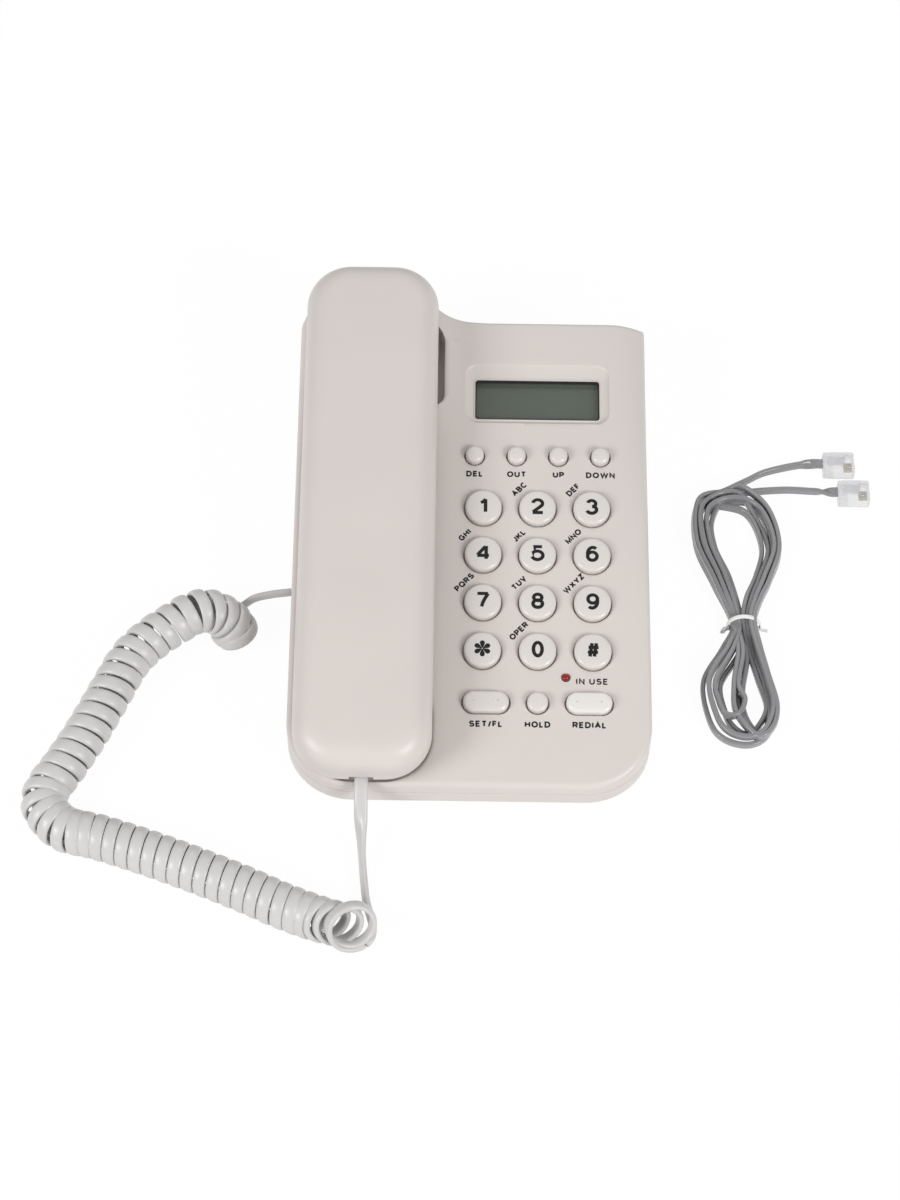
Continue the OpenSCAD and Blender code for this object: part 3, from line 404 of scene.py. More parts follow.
def make_materials(colours):
    """Every finish of the telephone, by a short name."""
    return {
        # ABS from a spark-eroded mould: a soft off-white with a fine, even matt grain.
        "shell": moulded("Moulded ABS off-white", colours.shell, 0.42, grain=0.5, mottle=0.012, coat=0.08),
        # ABS from a polished mould: the key caps are a little lighter and glossier than the case.
        "key": moulded("Polished ABS key cap", colours.key, 0.26, grain=0.8, grain_height=0.006,
                       mottle=0.01, coat=0.25),
        # The redial key's cap is the same plastic as the other keys. Its lighter colour is painted light, for
        # the light that falls more on the keys at the right.
        "redial": moulded("Polished ABS white key cap", colours.redial, 0.24, grain=0.8,
                          grain_height=0.006, mottle=0.008, coat=0.25),
        # Pad-printed ink: flat black with a slightly open surface.
        "ink": moulded("Pad-printed black ink", "#0b0b0b", 0.6, grain=0.3, mottle=0.05),
        # Flexible PVC sheath: satin, with a slow waviness from the extruder.
        "cord": moulded("Extruded PVC cord sheath", colours.cord, 0.36, grain=1.2, grain_height=0.02,
                        mottle=0.02, coat=0.12),
        "line": moulded("Extruded grey PVC line cord", colours.line, 0.24, grain=1.4, grain_height=0.02,
                        mottle=0.05, coat=0.35),
        # Dyed silicone and cast rubber: dull, with a fine dusty grain.
        "rubber": moulded("Moulded black rubber", "#2a2a2c", 0.78, grain=0.4, grain_height=0.03,
                          mottle=0.08, sheen=0.1),
        "membrane": moulded("Silicone key membrane", "#d9d9d4", 0.6, grain=0.5, mottle=0.02),
        "elastomer": moulded("Conductive elastomer strip", "#e58fa0", 0.6, grain=0.4, mottle=0.1),
        # Glass-filled PBT: dark, dull jack bodies.
        "jack": moulded("Glass-filled PBT jack", "#2c2c2f", 0.5, grain=0.3, grain_height=0.02, mottle=0.06),
        # Plain ABS: white and matt, as inner parts are left.
        "holder": moulded("Moulded white ABS holder", "#f2f2f0", 0.45, grain=0.5),
        # PVC over fine wires: satin grey, with a ripple at each core.
        "ribbon": moulded("PVC ribbon cable", "#b8b8bc", 0.45, grain=1.27, grain_height=0.05, mottle=0.04),
        # A film of plastic over wire: smooth and white, with a slight gloss.
        "tie": moulded("Plastic-coated wire tie", "#f2f2f0", 0.4, grain=0.6, mottle=0.02),
        # Cast epoxy with a diffuser in it: deep red and glossy, a little lit from within.
        "lamp": moulded("Diffused red epoxy lamp", "#8c0e12", 0.14, grain=1.0, grain_height=0.002,
                        mottle=0.06, coat=0.3, subsurface=0.1),
        # Zinc over steel, and gold over nickel: a cool grey and a pale warm metal, both softly glossy.
        "steel": metal("Zinc-plated steel", "#b9bcc0", 0.34),
        "gold": metal("Gold-plated contact", "#b3a88c", 0.36, lines=0.12),
        # Clear polycarbonate: nearly invisible faces with bright, sharp glints on the edges.
        "plug": clear("Clear polycarbonate plug", "#d6d6d9", 0.42),
        "window": clear("Clear polycarbonate window", "#9fa6a0", 0.06, roughness=0.03),
        # Glass over a reflector: flat grey-green, in broad patches of a darker tone.
        "lcd": display_glass("Liquid-crystal display glass", colours.display, "#464f43"),
        # Solder mask on glass-fibre board: satin green with paler tracks.
        "board": circuit("Printed circuit board", "#2f6b4a", "#4c8a62"),
    }


# --- Cords ---
# The middle line of the curly cord's coil: off the base, down to the table, and up a little at its far end.
COIL_Z = 8.25
CURL_ROUTE = [(-85.9, -35.5, 6.9), (-87.0, -33.2, 9.4), (-89.6, -30.4, 11.0), (-93.2, -28, 11.3),
              (-97.8, -26.4, 10.6), (-102.7, -27.2, 9.6), (-108, -30.3, 8.6)]
CURL_ROUTE += [(x, y, COIL_Z) for x, y in (
    (-117, -37.5), (-124, -46), (-128.6, -56), (-133.6, -68), (-139, -80), (-144.6, -91), (-149.6, -100),
    (-150.3, -107), (-143, -115.5), (-131, -118.7), (-117, -123.2), (-103, -128.2), (-89, -133.7),
    (-77, -138.7), (-65, -144.2))]
CURL_ROUTE += [(-53, -148.9, 8.5), (-44.3, -151.7, 9.4), (-39.3, -152.9, 10.4)]
AXIS_STEP, TURN_STEPS = 0.2, 26  # the route's spacing, and the points of one turn
# The coil's pitch and the change of its radius, by the distance from its start, then from its far end.
PITCH_FROM_START = [(0, 3.6), (8, 3.9), (12, 4.4), (17, 4.9), (26, 5.9), (34, 6.2), (66, 6.1), (84, 5.8),
                    (106, 5.6), (118, 4.5), (134, 4.3), (145, 4.9), (162, 5.05)]
PITCH_TO_END = [(-24, 4.95), (-16, 4.6), (-1.2, 4.6), (-0.9, 1.0), (0, 0.9)]
GROWN_FROM_START = [(0, -1.6), (2.2, 0.5), (4.4, 0.7), (8, 0)]
GROWN_TO_END = [(-1.6, 0), (-0.9, 0.8), (0, 1.7)]
STRAND_GAP = 0.3  # left between neighbouring turns where they lie close
AXIS_REACH = 16  # steps of the route that its direction is read over
FIRST_FROM, FIRST_OVER, LAST_FROM, LAST_OVER = 19, 9, 24, 21  # where the end turns' own facing gives way
# Which way the coil's turns face: at its base end by the distance along it, and at its far end.
FIRST_TURNS = [(0, (-0.16, 0.43, 0.89)), (3.8, (-0.52, 0.29, 0.80)), (7.6, (-0.73, 0.08, 0.67)),
               (11.5, (-0.86, -0.16, 0.49)), (16, (-0.93, -0.25, 0.25)), (21, (-0.93, -0.36, 0.08))]
LAST_TURN = Vector((0.33, -0.80, 0.51))
BASE_TAIL_FACE, TAIL_NARROW = Vector((0.05, -0.1, 1)), 0.82  # its width's direction, and its narrower width
BASE_TAIL = [(-66.1, -19, 12.4), (-68.4, -19.3, 12.3), (-73.4, -19.9, 12), (-79.6, -21.2, 11.3),
             (-84, -23.4, 9.6)]
HANDSET_TAIL = [(-38, -94.9, 17.5), (-38, -99.8, 16.8), (-38, -106, 13.5), (-37.9, -112, 9),
                (-37.6, -118, 5.6), (-37.2, -124, 3.6), (-36.6, -130, 2.9), (-35.9, -136, 2.9),
                (-35.1, -141, 2.9), (-33.6, -146, 2.9), (-32.7, -149.6, 2.8), (-33.2, -153.2, 2.9)]
TAIL_STEP = 0.8
FLAT_SECTION = [(math.cos(math.tau * k / 14), math.sin(math.tau * k / 14)) for k in range(14)]


def spaced(points, step):
    """Points every step along the smooth curve through the given ones."""
    points = [Vector(p) for p in points]
    ends = [points[0] * 2 - points[1]] + points + [points[-1] * 2 - points[-2]]
    fine = []
    for a, b, c, d in zip(ends, ends[1:], ends[2:], ends[3:]):
        for k in range(40):
            t = k / 40
            fine.append(((-t + 2 * t * t - t ** 3) * a + (2 - 5 * t * t + 3 * t ** 3) * b
                         + (t + 4 * t * t - 3 * t ** 3) * c + (t ** 3 - t * t) * d) / 2)
    fine.append(points[-1])
    out, left = [fine[0].copy()], step
    for p, q in zip(fine, fine[1:]):
        gap = (q - p).length
        while gap >= left > 0:
            p = p + (q - p) * (left / gap)
            out.append(p.copy())
            gap, left = (q - p).length, step
        left -= gap
    if (out[-1] - fine[-1]).length > step * 0.3:
        out.append(fine[-1])
    else:
        out[-1] = fine[-1]
    return out


def strand(points, wide, width, thick, section=FLAT_SECTION, power=0.62):
    """A flat cord's skin: wide is the direction of its width at each point."""
    rings = []
    for i, p in enumerate(points):
        along = (points[min(i + 1, len(points) - 1)] - points[max(i - 1, 0)]).normalized()
        side = (wide[i] - along * wide[i].dot(along)).normalized()
        face = along.cross(side)
        w, h = (value[i] if isinstance(value, list) else value for value in (width, thick))
        rings.append([p + side * (w / 2 * math.copysign(abs(c) ** power, c))
                      + face * (h / 2 * math.copysign(abs(s) ** power, s)) for c, s in section])
    return loft(rings)


def curl(settings):
    """The coil's centre line, and its strand's width and width direction at each point."""
    axis = spaced(CURL_ROUTE, AXIS_STEP)
    strand_width = settings.strand_width / MM
    radius = (settings.curl_outer - settings.strand_thick) / 2 / MM
    points, wide, width = [], [], []
    total = len(axis) - 1
    reach = total * AXIS_STEP
    pitches = PITCH_FROM_START + [(reach + d, pitch) for d, pitch in PITCH_TO_END]
    growth = GROWN_FROM_START + [(reach + d, grown) for d, grown in GROWN_TO_END]
    turns, position = 0, 0.0
    while position < total:
        position += through(pitches, position * AXIS_STEP) / TURN_STEPS / AXIS_STEP
        turns += 1 / TURN_STEPS
    wanted = (settings.curl_hand * (settings.curl_end - settings.curl_start) / 360 - turns) % 1
    stretch = turns / (turns + wanted)
    angle, position = math.radians(settings.curl_start), 0.0
    while position < total:
        i = int(position)
        here = axis[i].lerp(axis[min(i + 1, total)], position - i)
        along = (axis[min(i + AXIS_REACH, total)] - axis[max(i - AXIS_REACH, 0)]).normalized()
        travelled = position * AXIS_STEP
        pitch = through(pitches, travelled) * stretch
        first = ease((travelled - FIRST_FROM) / FIRST_OVER)
        last = ease((travelled - reach + LAST_FROM) / LAST_OVER)
        turned_in = Vector([through([(d, n[k]) for d, n in FIRST_TURNS], travelled) for k in range(3)])
        along = (turned_in.lerp(along, first) * (1 - last) + LAST_TURN * last).normalized()
        side = along.cross(UP).normalized()
        out = side * math.cos(angle) + side.cross(along) * math.sin(angle)
        points.append(here + out * (radius + through(growth, travelled)))
        wide.append(along)
        least = strand_width - (0.45 if travelled > 16 else 0.6)
        width.append(min(strand_width, max(pitch - STRAND_GAP, least)))
        angle += math.tau / TURN_STEPS * settings.curl_hand
        position += pitch / TURN_STEPS / AXIS_STEP
    return points, wide, width


def joined_line(first, second, steps):
    """Points on a smooth bridge between the end of one line and the start of another."""
    p, q = first[-1], second[0]
    reach = (q - p).length * 0.6
    a = (first[-1] - first[-2]).normalized() * reach
    b = (second[1] - second[0]).normalized() * reach
    shares = [(k / steps, 1 - k / steps) for k in range(1, steps)]
    return [p * (h * h * (1 + 2 * t)) + q * (t * t * (3 - 2 * t)) + a * (t * h * h) - b * (t * t * h)
            for t, h in shares]


def make_curly_cord(settings, finishes):
    """The curly cord from the base's plug to the last turn of its coil. Returns that end."""
    tail = spaced(BASE_TAIL, TAIL_STEP)
    coil, coil_wide, coil_width = curl(settings)
    bridge = joined_line(tail, coil, 12)
    narrow, thick = settings.strand_width / MM * TAIL_NARROW, settings.strand_thick / MM
    points = tail + bridge + coil
    shares = [0.0] * len(tail) + [(k + 1) / len(bridge) for k in range(len(bridge))]
    wide = [BASE_TAIL_FACE.lerp(coil_wide[0], share) for share in shares] + coil_wide
    widths = [narrow + (coil_width[0] - narrow) * share for share in shares] + coil_width
    obj = piece("curly_cord_strand", strand(points, wide, widths, thick, power=0.76), sharp=60)
    finish(obj, "base", finishes["cord"], "cord_plastic", "curly_cord", "base_cord_tail")
    return points[-1]


def make_handset_tail(settings, finishes, joint):
    """The curly cord's plain end, from the coil up to the handset's plug."""
    line = spaced([joint] + HANDSET_TAIL[::-1], TAIL_STEP)
    width, thick = settings.strand_width / MM, settings.strand_thick / MM
    total = len(line) - 1
    wide = [LAST_TURN.lerp(Vector((0.25, 0, 1)), ease(i / total / 0.12)).lerp(
        Vector((1, 0, 0)), ease((i / total - 0.5) / 0.4)) for i in range(total + 1)]
    obj = piece("handset_cord_strand", strand(line, wide, width * 0.95, thick), sharp=60)
    finish(obj, None, finishes["cord"], "cord_plastic", "handset_cord_tail")
    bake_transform(obj)


# The hank: stations round its loop, each with its middle, the direction across it, the spacing of
# its four columns of strands and the height of its two layers.
HANK_STATIONS = {
    "top": ((101, 31.5), (0, 1), 2.7, (2.4, 5.4)),
    "top_left": ((89.5, 26), (-0.7, 0.7), 2.6, (2.3, 5.6)),
    "left": ((89, 10), (-1, 0.15), 2.5, (2.2, 6.0)),
    "left_mid": ((94.6, -6), (-0.95, -0.3), 2.0, (2.2, 5.4)),
    "tie_left": ((99.4, -24), (-1, -0.1), 1.3, (2.1, 3.6)),
    "tie_right": ((103.7, -24), (1, -0.1), 1.35, (3.6, 5.7)),
    "right_cross": ((105.4, -15), (0.95, -0.3), 1.6, (4.2, 6.0)),
    "right_mid": ((109.6, -5), (0.92, -0.4), 1.9, (3.0, 6.0)),
    "right": ((113.4, 9), (1, 0), 2.0, (2.2, 5.8)),
    "top_right": ((109.5, 24), (0.75, 0.66), 2.3, (2.4, 5.4)),
    "far_left_low": ((96.5, -36), (-1, 0.2), 2.0, (2.2, 5.9)),
    "far_left": ((89.2, -50), (-1, 0.1), 2.2, (2.2, 5.9)),
    "far_left_end": ((90.6, -64), (-0.9, -0.45), 2.2, (2.2, 5.6)),
    "inner_low": ((101.6, -38), (-1, 0), 1.7, (2.2, 5.9)),
    "inner": ((99.4, -52), (-1, 0), 1.9, (2.2, 5.8)),
    "inner_end": ((100.0, -63), (-0.95, -0.2), 1.8, (2.2, 5.6)),
    "foot_left": ((94.6, -70.6), (-0.75, -0.8), 1.9, (2.2, 5.6)),
    "foot": ((101, -73.2), (0.05, -1), 1.5, (2.2, 5.5)),
    "foot_turn": ((106.6, -69.8), (0.75, -0.75), 1.4, (2.2, 5.5)),
    "inner_foot": ((104.6, -71.2), (-0.1, -1), 1.4, (2.2, 5.5)),
    "inner_turn": ((108.6, -68.2), (0.8, -0.6), 1.3, (2.2, 5.5)),
    "foot_right": ((110.2, -60), (0.97, -0.25), 1.2, (2.2, 5.6)),
    "low_right": ((108, -48), (1, 0), 1.2, (2.2, 5.9)),
    "low_mid": ((105, -36), (1, 0.1), 1.3, (2.2, 5.9)),
}
# The stations that every turn passes on each side, and those of a whole outer and inner turn.
LEFT_SIDE = ("top", "top_left", "left", "left_mid", "tie_left")
RIGHT_SIDE = ("foot_right", "low_right", "low_mid", "tie_right", "right_cross", "right_mid", "right",
              "top_right")
OUTER_PASS = LEFT_SIDE + ("far_left_low", "far_left", "far_left_end", "foot_left", "foot",
                          "foot_turn") + RIGHT_SIDE
INNER_PASS = LEFT_SIDE + ("inner_low", "inner", "inner_end", "inner_foot", "inner_turn") + RIGHT_SIDE
# Each pass: its stations, column and layer, first one way round and then back.
PASSES_OUT = ((OUTER_PASS, 3, 0), (INNER_PASS, 1, 0), (OUTER_PASS, 2, 1))
PASSES_BACK = ((INNER_PASS, 2, 0), (OUTER_PASS, 0, 0), (INNER_PASS, 3, 1))
HAIRPIN = ((90.6, -58, 5.8), (93.4, -64.6, 5.8), (98.0, -64.4, 5.9), (100.4, -58.5, 6.0))
SWAYS = (0.0, 0.25, -0.2, 0.15, -0.25, 0.2, 0.0)  # how far the strands stray at the stations in turn


def hank_point(name, column, layer, sway):
    """A strand's place at a station, by its column and layer."""
    (x, y), (dx, dy), spacing, heights = HANK_STATIONS[name]
    size = math.hypot(dx, dy)
    out = (column - 1.5) * spacing + sway
    return Vector((x + dx / size * out, y + dy / size * out, heights[layer]))


def hank_line():
    """The line cord's turns: three one way, a hairpin at the foot and three turns back."""
    line = []
    for k, (stations, column, layer) in enumerate(PASSES_OUT):
        line += [hank_point(s, column, layer, SWAYS[(k + j) % 7]) for j, s in enumerate(stations)]
    line += [hank_point(s, 1, 1, 0.0) for s in LEFT_SIDE + ("far_left_low", "far_left")]
    line += [Vector(p) for p in HAIRPIN]
    line += [hank_point(s, 2, 1, 0.2) for s in ("inner", "inner_low") + LEFT_SIDE[:0:-1]]
    for k, (stations, column, layer) in enumerate(PASSES_BACK):
        line += [hank_point(s, column, layer, SWAYS[(2 * k + j) % 7])
                 for j, s in enumerate(stations[:1] + stations[:0:-1])]
    return line + [hank_point("top_left", 2, 0, 0.3)]


LINE_STEP = 1.1
LINE_END_A = [(135.4, 48, 3.3), (131.5, 48, 3.2), (124, 47.2, 2.6), (113, 44.2, 2.3), (106, 40.3, 2.3),
              (98, 35.7, 2.4)]
LINE_END_B = [(97, 33.2, 4.4), (104, 34.0, 3.4), (113, 35.6, 2.5), (121.5, 36.2, 2.4), (130, 35.6, 2.7),
              (136.5, 35, 3.2), (140.4, 35, 3.3)]


def line_section(steps=24):
    """The flat line cord's section, with a groove along each face and a flatter one along each edge."""
    turn = [(math.cos(math.tau * k / steps), math.sin(math.tau * k / steps)) for k in range(steps)]
    return [(c * (1 - 0.13 * math.exp(-(s / 0.24) ** 2)), s * (1 - 0.3 * math.exp(-(c / 0.2) ** 2)))
            for c, s in turn]


def make_line_cord(settings, finishes):
    """The line cord, tied in a hank. It lies flat at its plugs and stands on edge in the hank."""
    points = spaced(LINE_END_A + hank_line()[1:-1] + LINE_END_B, LINE_STEP)
    total = len(points) - 1
    wide = []
    for i in range(total + 1):
        share = min(i, total - i) * LINE_STEP
        along = points[min(i + 1, total)] - points[max(i - 1, 0)]
        flat = along.cross(UP).normalized()
        lean = math.radians(90 * ease((share - 2) / 7) + 7 * math.sin(i * 0.031))
        wide.append(flat * math.cos(lean) + UP * math.sin(lean))
    skin = strand(points, wide, settings.line_width / MM, settings.line_thick / MM, line_section(), 0.75)
    obj = piece("line_cord_strand", skin, sharp=70)
    finish(obj, "base", finishes["line"], "line_cord_plastic", "line_cord_hank", "line_cord_tails")


# Each modular plug: its piece, width, place and body.
PLUGS = (("line_plug_a", 9.65, moved(135.5, 48, 3), "base"),
         ("line_plug_b", 9.65, moved(140.5, 35, 3), "base"),
         ("base_cord_plug", 7.65, moved(-66.1, -19, 12.5), "base"),
         ("handset_cord_plug", 7.65,
          HANDSET @ moved(0, -96.5, -4) @ Matrix.Rotation(math.radians(90), 4, "Z"), "handset"))


def plug_shape(width):
    """A modular plug: its cord end at x = 0 and its nose towards +X, with its latch on top."""
    w = width / 2

    def skin(stations, r):
        return loft([[(x, y, z) for y, z in box_outline((0, (low + high) / 2), (2 * half, high - low), r,
                                                        arc=3)] for x, half, low, high in stations])

    body = skin([(0, w - 0.5, -2.9, 1.2), (0.5, w - 0.1, -2.98, 1.45), (4.2, w, -3, 1.6), (7.4, w, -3, 1.6),
                 (11.5, w, -3, 1.6), (12, w - 0.4, -2.6, 1.2)], 0.35)
    latch = skin([(x, w * share, mid - 0.425, mid + 0.425) for x, share, mid in (
        (11.6, 0.56, 1.3), (10.4, 0.58, 1.75), (8.0, 0.6, 2.1), (7.6, 0.38, 2.2), (3.0, 0.34, 2.48),
        (1.4, 0.34, 2.55))], 0.2)
    return body, latch


def blades(count=4, pitch=1.02):
    """The plug's gold contacts, edge on under its nose."""
    middles = [(k - (count - 1) / 2) * pitch for k in range(count)]
    return together([brick((8.2, y - 0.15, -2.9), (11.4, y + 0.15, -1.5)) for y in middles])


def make_plugs(finishes):
    """The four modular plugs: two on the line cord, one in the base and one in the handset."""
    for name, width, place, body in PLUGS:
        shell, latch = plug_shape(width)
        obj = piece(name + "_moulding", shell, place, sharp=30)
        reshape(obj, latch, "UNION", place, sharp=30)
        finish(obj, body, finishes["plug"], "clear_plastic", name)
        gold = piece(name + "_contacts", blades(), place, sharp=30)
        finish(gold, body, finishes["gold"], "steel")


# The wire tie's middle, and the line of its band from there.
TIE_X, TIE_Y = 101.7, -24.6
TIE_BAND = [(-6.2, -0.6, 2.4), (-5.9, -0.4, 4.6), (-4.3, 0, 6.7), (-2.2, 0.3, 7.75), (0, 0.4, 8.05),
            (2.2, 0.3, 7.75), (4.3, 0, 6.7), (5.9, -0.4, 4.6), (6.2, -0.6, 2.4), (4.8, -0.4, 0.6),
            (0, -0.2, 0.4), (-4.8, -0.4, 0.6), (-6.2, -0.6, 2.4)]
TIE_THICK = 0.5


def tie_strip(line, step, face, width):
    """A strip of the tie along a line of places from its middle."""
    points = spaced([(TIE_X + x, TIE_Y + y, z) for x, y, z in line], step)
    return strand(points, [Vector(face)] * len(points), width, TIE_THICK)


def make_tie(finishes):
    """The white coated wire tie round the hank's waist, twisted once at its left."""
    band = piece("cord_tie_band", tie_strip(TIE_BAND, 0.5, (0, 1, 0), 1.7), sharp=60)
    ends = []
    for turn in (0, math.pi):
        line = [(-5.3, -0.3, 2.6)] + [
            (-5.6 - 0.75 * j, -0.8 - 0.5 * j + 0.55 * math.cos(j * 1.4 + turn),
             2.4 - 0.08 * j + 0.55 * math.sin(j * 1.4 + turn)) for j in range(5)]
        ends.append(tie_strip(line, 0.4, (0, 0.4, 1), 1.5))
    ends.append(tie_strip([(5.2, -0.9, 2.0), (7.0, -1.4, 1.6), (9.0, -1.9, 1.4)], 0.4, (0, 0.7, 0.7), 1.2))
    knot = piece("cord_tie_ends", together(ends), sharp=60)
    finish(band, "base", finishes["tie"], "white_plastic", "cord_tie")
    finish(knot, "base", finishes["tie"], "white_plastic")


# --- Base ---
# The saddle's rise by the distance along the panel, and its share by the distance from the left side.
SADDLE_RISE = [(42, 0), (52, 0.09), (60, 0.2), (68, 0.36), (76, 0.54), (84, 0.7), (92, 0.84), (100, 0.94),
               (106, 1), (110, 1)]
SADDLE_SHARE = [(0, 0), (1, 0.15), (2, 0.42), (3.2, 0.7), (5, 0.9), (7.5, 1), (47.5, 1), (51, 0.98),
                (53, 0.8), (54.5, 0.6), (56.5, 0.42), (59.5, 0.22), (63, 0.09), (67, 0.03), (72, 0)]
SADDLE_H = 3.7
BULGE, BULGE_Y, BULGE_Z = 4.2, 16.0, 7.0  # how far the saddle swells over the rear edge, and its reach
SEAM = 0.35  # the case is drawn in a little along its parting line
CROWN_Y, CROWN_LEAST_W = -60.0, 7.0  # where the rounding of the right side starts, and its width there


def saddle(x, y):
    """The rise of the cradle's saddle over the panel, and its share across."""
    v = (y - KEY_Y) / math.cos(TILT)
    share = through(SADDLE_SHARE, x + HALF_W)
    return SADDLE_H * through(SADDLE_RISE, v) * share, share


def case_top(x, y, inset=0.0):
    """Height of the upper case over the table at a point of its plan, inset by a wall."""
    side, front, rear = HALF_W - inset - abs(x), y - FRONT_Y - inset, REAR_Y - inset - y
    corner = FRONT_R - inset
    plane = KEY_Z + (y - KEY_Y) * math.tan(TILT) - inset
    edge = min(side, front, rear)
    if side < corner and front < corner:
        edge = corner - math.hypot(corner - side, corner - front)
    corner = REAR_R[0] - inset
    if x < 0 and side < corner and rear < corner:
        edge = corner - math.hypot(corner - side, corner - rear)
    fall = rounded(max(edge, 0), EDGE_R, EDGE_R) if not inset else 0.0
    if x > 0:
        share = clamp((y - CROWN_Y) / (REAR_Y - CROWN_Y))
        reach = CROWN_LEAST_W + (CROWN_W - CROWN_LEAST_W) * share
        fall += CROWN_H * ease(share * 1.2) * clamp(1 - max(side + inset, 0) / reach) ** 2
    return plane - fall + saddle(x, y)[0]


def case_form(inset, low, across=64, along=96, arc=8):
    """The upper case's closed outer form, or the hollow inside it."""
    def ring(more):
        r_rear = tuple(max(r - inset - more, 0.5) for r in REAR_R)
        return outline(-HALF_W + inset + more, HALF_W - inset - more, FRONT_Y + inset + more,
                       REAR_Y - inset - more, FRONT_R - inset - more, r_rear, arc=arc, across=across,
                       along=along)

    def pushed(x, y, z, top):
        if inset:
            return x, y, z
        near = ease((y - REAR_Y + BULGE_Y) / BULGE_Y) * ease((z - top + BULGE_Z) / BULGE_Z)
        return x, y + BULGE * saddle(x, y)[1] * near, z

    seam = 0.0 if inset else SEAM
    rings = []
    if not inset:
        rings.append(level(ring(seam), low))
    edge = ring(0)
    tops = [max(case_top(x, y, inset), low + seam + 0.04) for x, y in edge]
    for share in (0, 0.4, 0.7, 0.85, 1):
        rings.append([pushed(x, y, low + seam + (top - low - seam) * share, top)
                      for (x, y), top in zip(edge, tops)])
    for more in (0.02, 0.1, 0.25, 0.5, 0.8, 1.15, 1.7, 2.4, 3.3, 4.4, 5.8, 7.5, 9.5):
        points = []
        for x, y in ring(more):
            z = max(case_top(x, y, inset), low + seam + 0.05)
            points.append(pushed(x, y, z, z))
        rings.append(points)
    across, along = across + 2 * arc, along + 2 * arc
    return closed(capped(rings, across, along, lambda x, y: case_top(x, y, inset)), len(edge))


def on_case(x, v, below=0.0):
    """A point under or over the case's surface, by its place on the panel."""
    y = KEY_Y + v * math.cos(TILT)
    return x, y, case_top(x, y) - below


# Each kind of key: its hole, the dish round it, the gap round its cap, its edge's radius, its top over
# the panel and how flat its dome is.
KEY_KINDS = {"digit": ((14.2, 14.2), 0.75, 0.35, 1.3, 2.6, 96.0),
             "button": ((7.6, 7.6), 0.3, 0.45, 1.5, 3.0, 14.0),
             "hold": ((8.4, 8.4), 0.3, 0.45, 1.2, 2.6, 40.0),
             "oval": ((17.6, 8.6), 0.3, 0.35, 1.3, 2.6, 90.0)}
DIGITS = ("1", "2", "3", "4", "5", "6", "7", "8", "9", "star", "0", "hash")
BUTTON_PITCH, BUTTON_V = 15.6, 50.1
OVAL_X, BOTTOM_V = 18.55, -48.6
LAMP = (KEYS_X + 10.2, -38.5)


def key_places():
    """Each key's node, middle on the panel and kind."""
    places = [("key_" + d, KEYS_X + (i % 3 - 1) * PITCH_X, (1.5 - i // 3) * PITCH_V, "digit")
              for i, d in enumerate(DIGITS)]
    places += [("button_" + b, KEYS_X + (i - 1.5) * BUTTON_PITCH, BUTTON_V, "button")
               for i, b in enumerate(("delete", "out", "up", "down"))]
    return places + [("key_set", KEYS_X - OVAL_X, BOTTOM_V, "oval"), ("key_hold", KEYS_X, BOTTOM_V, "hold"),
                     ("key_redial", KEYS_X + OVAL_X, BOTTOM_V, "oval")]


def hole(size, dish, depth=11.0):
    """A cutter for a key's hole, with a shallow dish round its rim."""
    return loft([level(box_outline((0, 0), size, min(size) / 2, grow, arc=8), w) for grow, w in (
        (dish + 0.6, 4), (dish + 0.12, 0.06), (dish, 0.0), (dish * 0.72, -0.06), (dish * 0.45, -0.17),
        (dish * 0.22, -0.36), (dish * 0.07, -0.62), (0, -0.95), (0, -depth))])


DISPLAY_FRAME = (KEYS_X - 27.2, KEYS_X + 27.1, 64.1, 89.1)
DISPLAY_FLOOR = (KEYS_X - 24.3, KEYS_X + 24.3, 65.7, 84.2)
FRAME_R, FLOOR_R = 5.0, 2.6
WINDOW, WINDOW_SIZE, WINDOW_R = (KEYS_X, 74.7), (46.8, 16.6), 1.2


def display_cut():
    """A cutter for the display's sunk frame and window."""
    counts = {"arc": 7, "across": 8, "along": 6}
    rings = []
    for share, w in ((-0.25, 4), (-0.04, 0.05), (0, 0), (0.03, -0.1), (0.08, -0.3), (0.16, -0.48),
                     (0.4, -0.82), (0.7, -1.2), (0.9, -1.4), (1, -1.46)):
        box = [a + (b - a) * share for a, b in zip(DISPLAY_FRAME, DISPLAY_FLOOR)]
        r = FRAME_R + (FLOOR_R - FRAME_R) * clamp(share)
        rings.append(level(outline(*box, r, r, **counts), w))
    for grow, w in ((0.6, -1.46), (0.5, -1.3), (0.35, -1.2), (0.18, -1.22), (0.06, -1.34), (0, -1.5),
                    (0, -11)):
        rings.append(level(box_outline(WINDOW, WINDOW_SIZE, WINDOW_R, grow, **counts), w))
    return loft(rings)


def middle_and_size(*ends):
    """The middle and the size of a field, from its two ends each way."""
    return [(low + high) / 2 for low, high in ends], [high - low for low, high in ends]


def well(x_ends, v_ends, depth, r, rear=None, rim=0.9, fillet=2.2):
    """A cutter for a cradle well, whose rim follows the case's surface."""
    field = middle_and_size(x_ends, v_ends)
    counts = {"arc": 8, "across": 18, "along": 12}
    rings = []
    for grow, below in ((rim + 0.4, -6), (rim + 0.05, -0.03), (rim, 0.0), (rim * 0.55, 0.1),
                        (rim * 0.25, 0.3), (rim * 0.06, 0.6), (0, 1.0)):
        rings.append([on_case(x, v, below) for x, v in box_outline(*field, r, grow, rear, **counts)])
    for grow, up in ((0, fillet), (-fillet * 0.13, fillet * 0.5), (-fillet * 0.5, fillet * 0.13),
                     (-fillet, 0)):
        rings.append([tuple(PANEL @ (Vector((x, v, -depth + up)) * MM) / MM)
                      for x, v in box_outline(*field, r, grow, rear, **counts)])
    return loft(rings)


def block(x_ends, v_ends, low, high, r, grow=0.0):
    """A plate in the panel's frame, grown on every side."""
    edge = box_outline(*middle_and_size(x_ends, v_ends), r, grow, arc=8)
    return loft([level(edge, low), level(edge, high)])


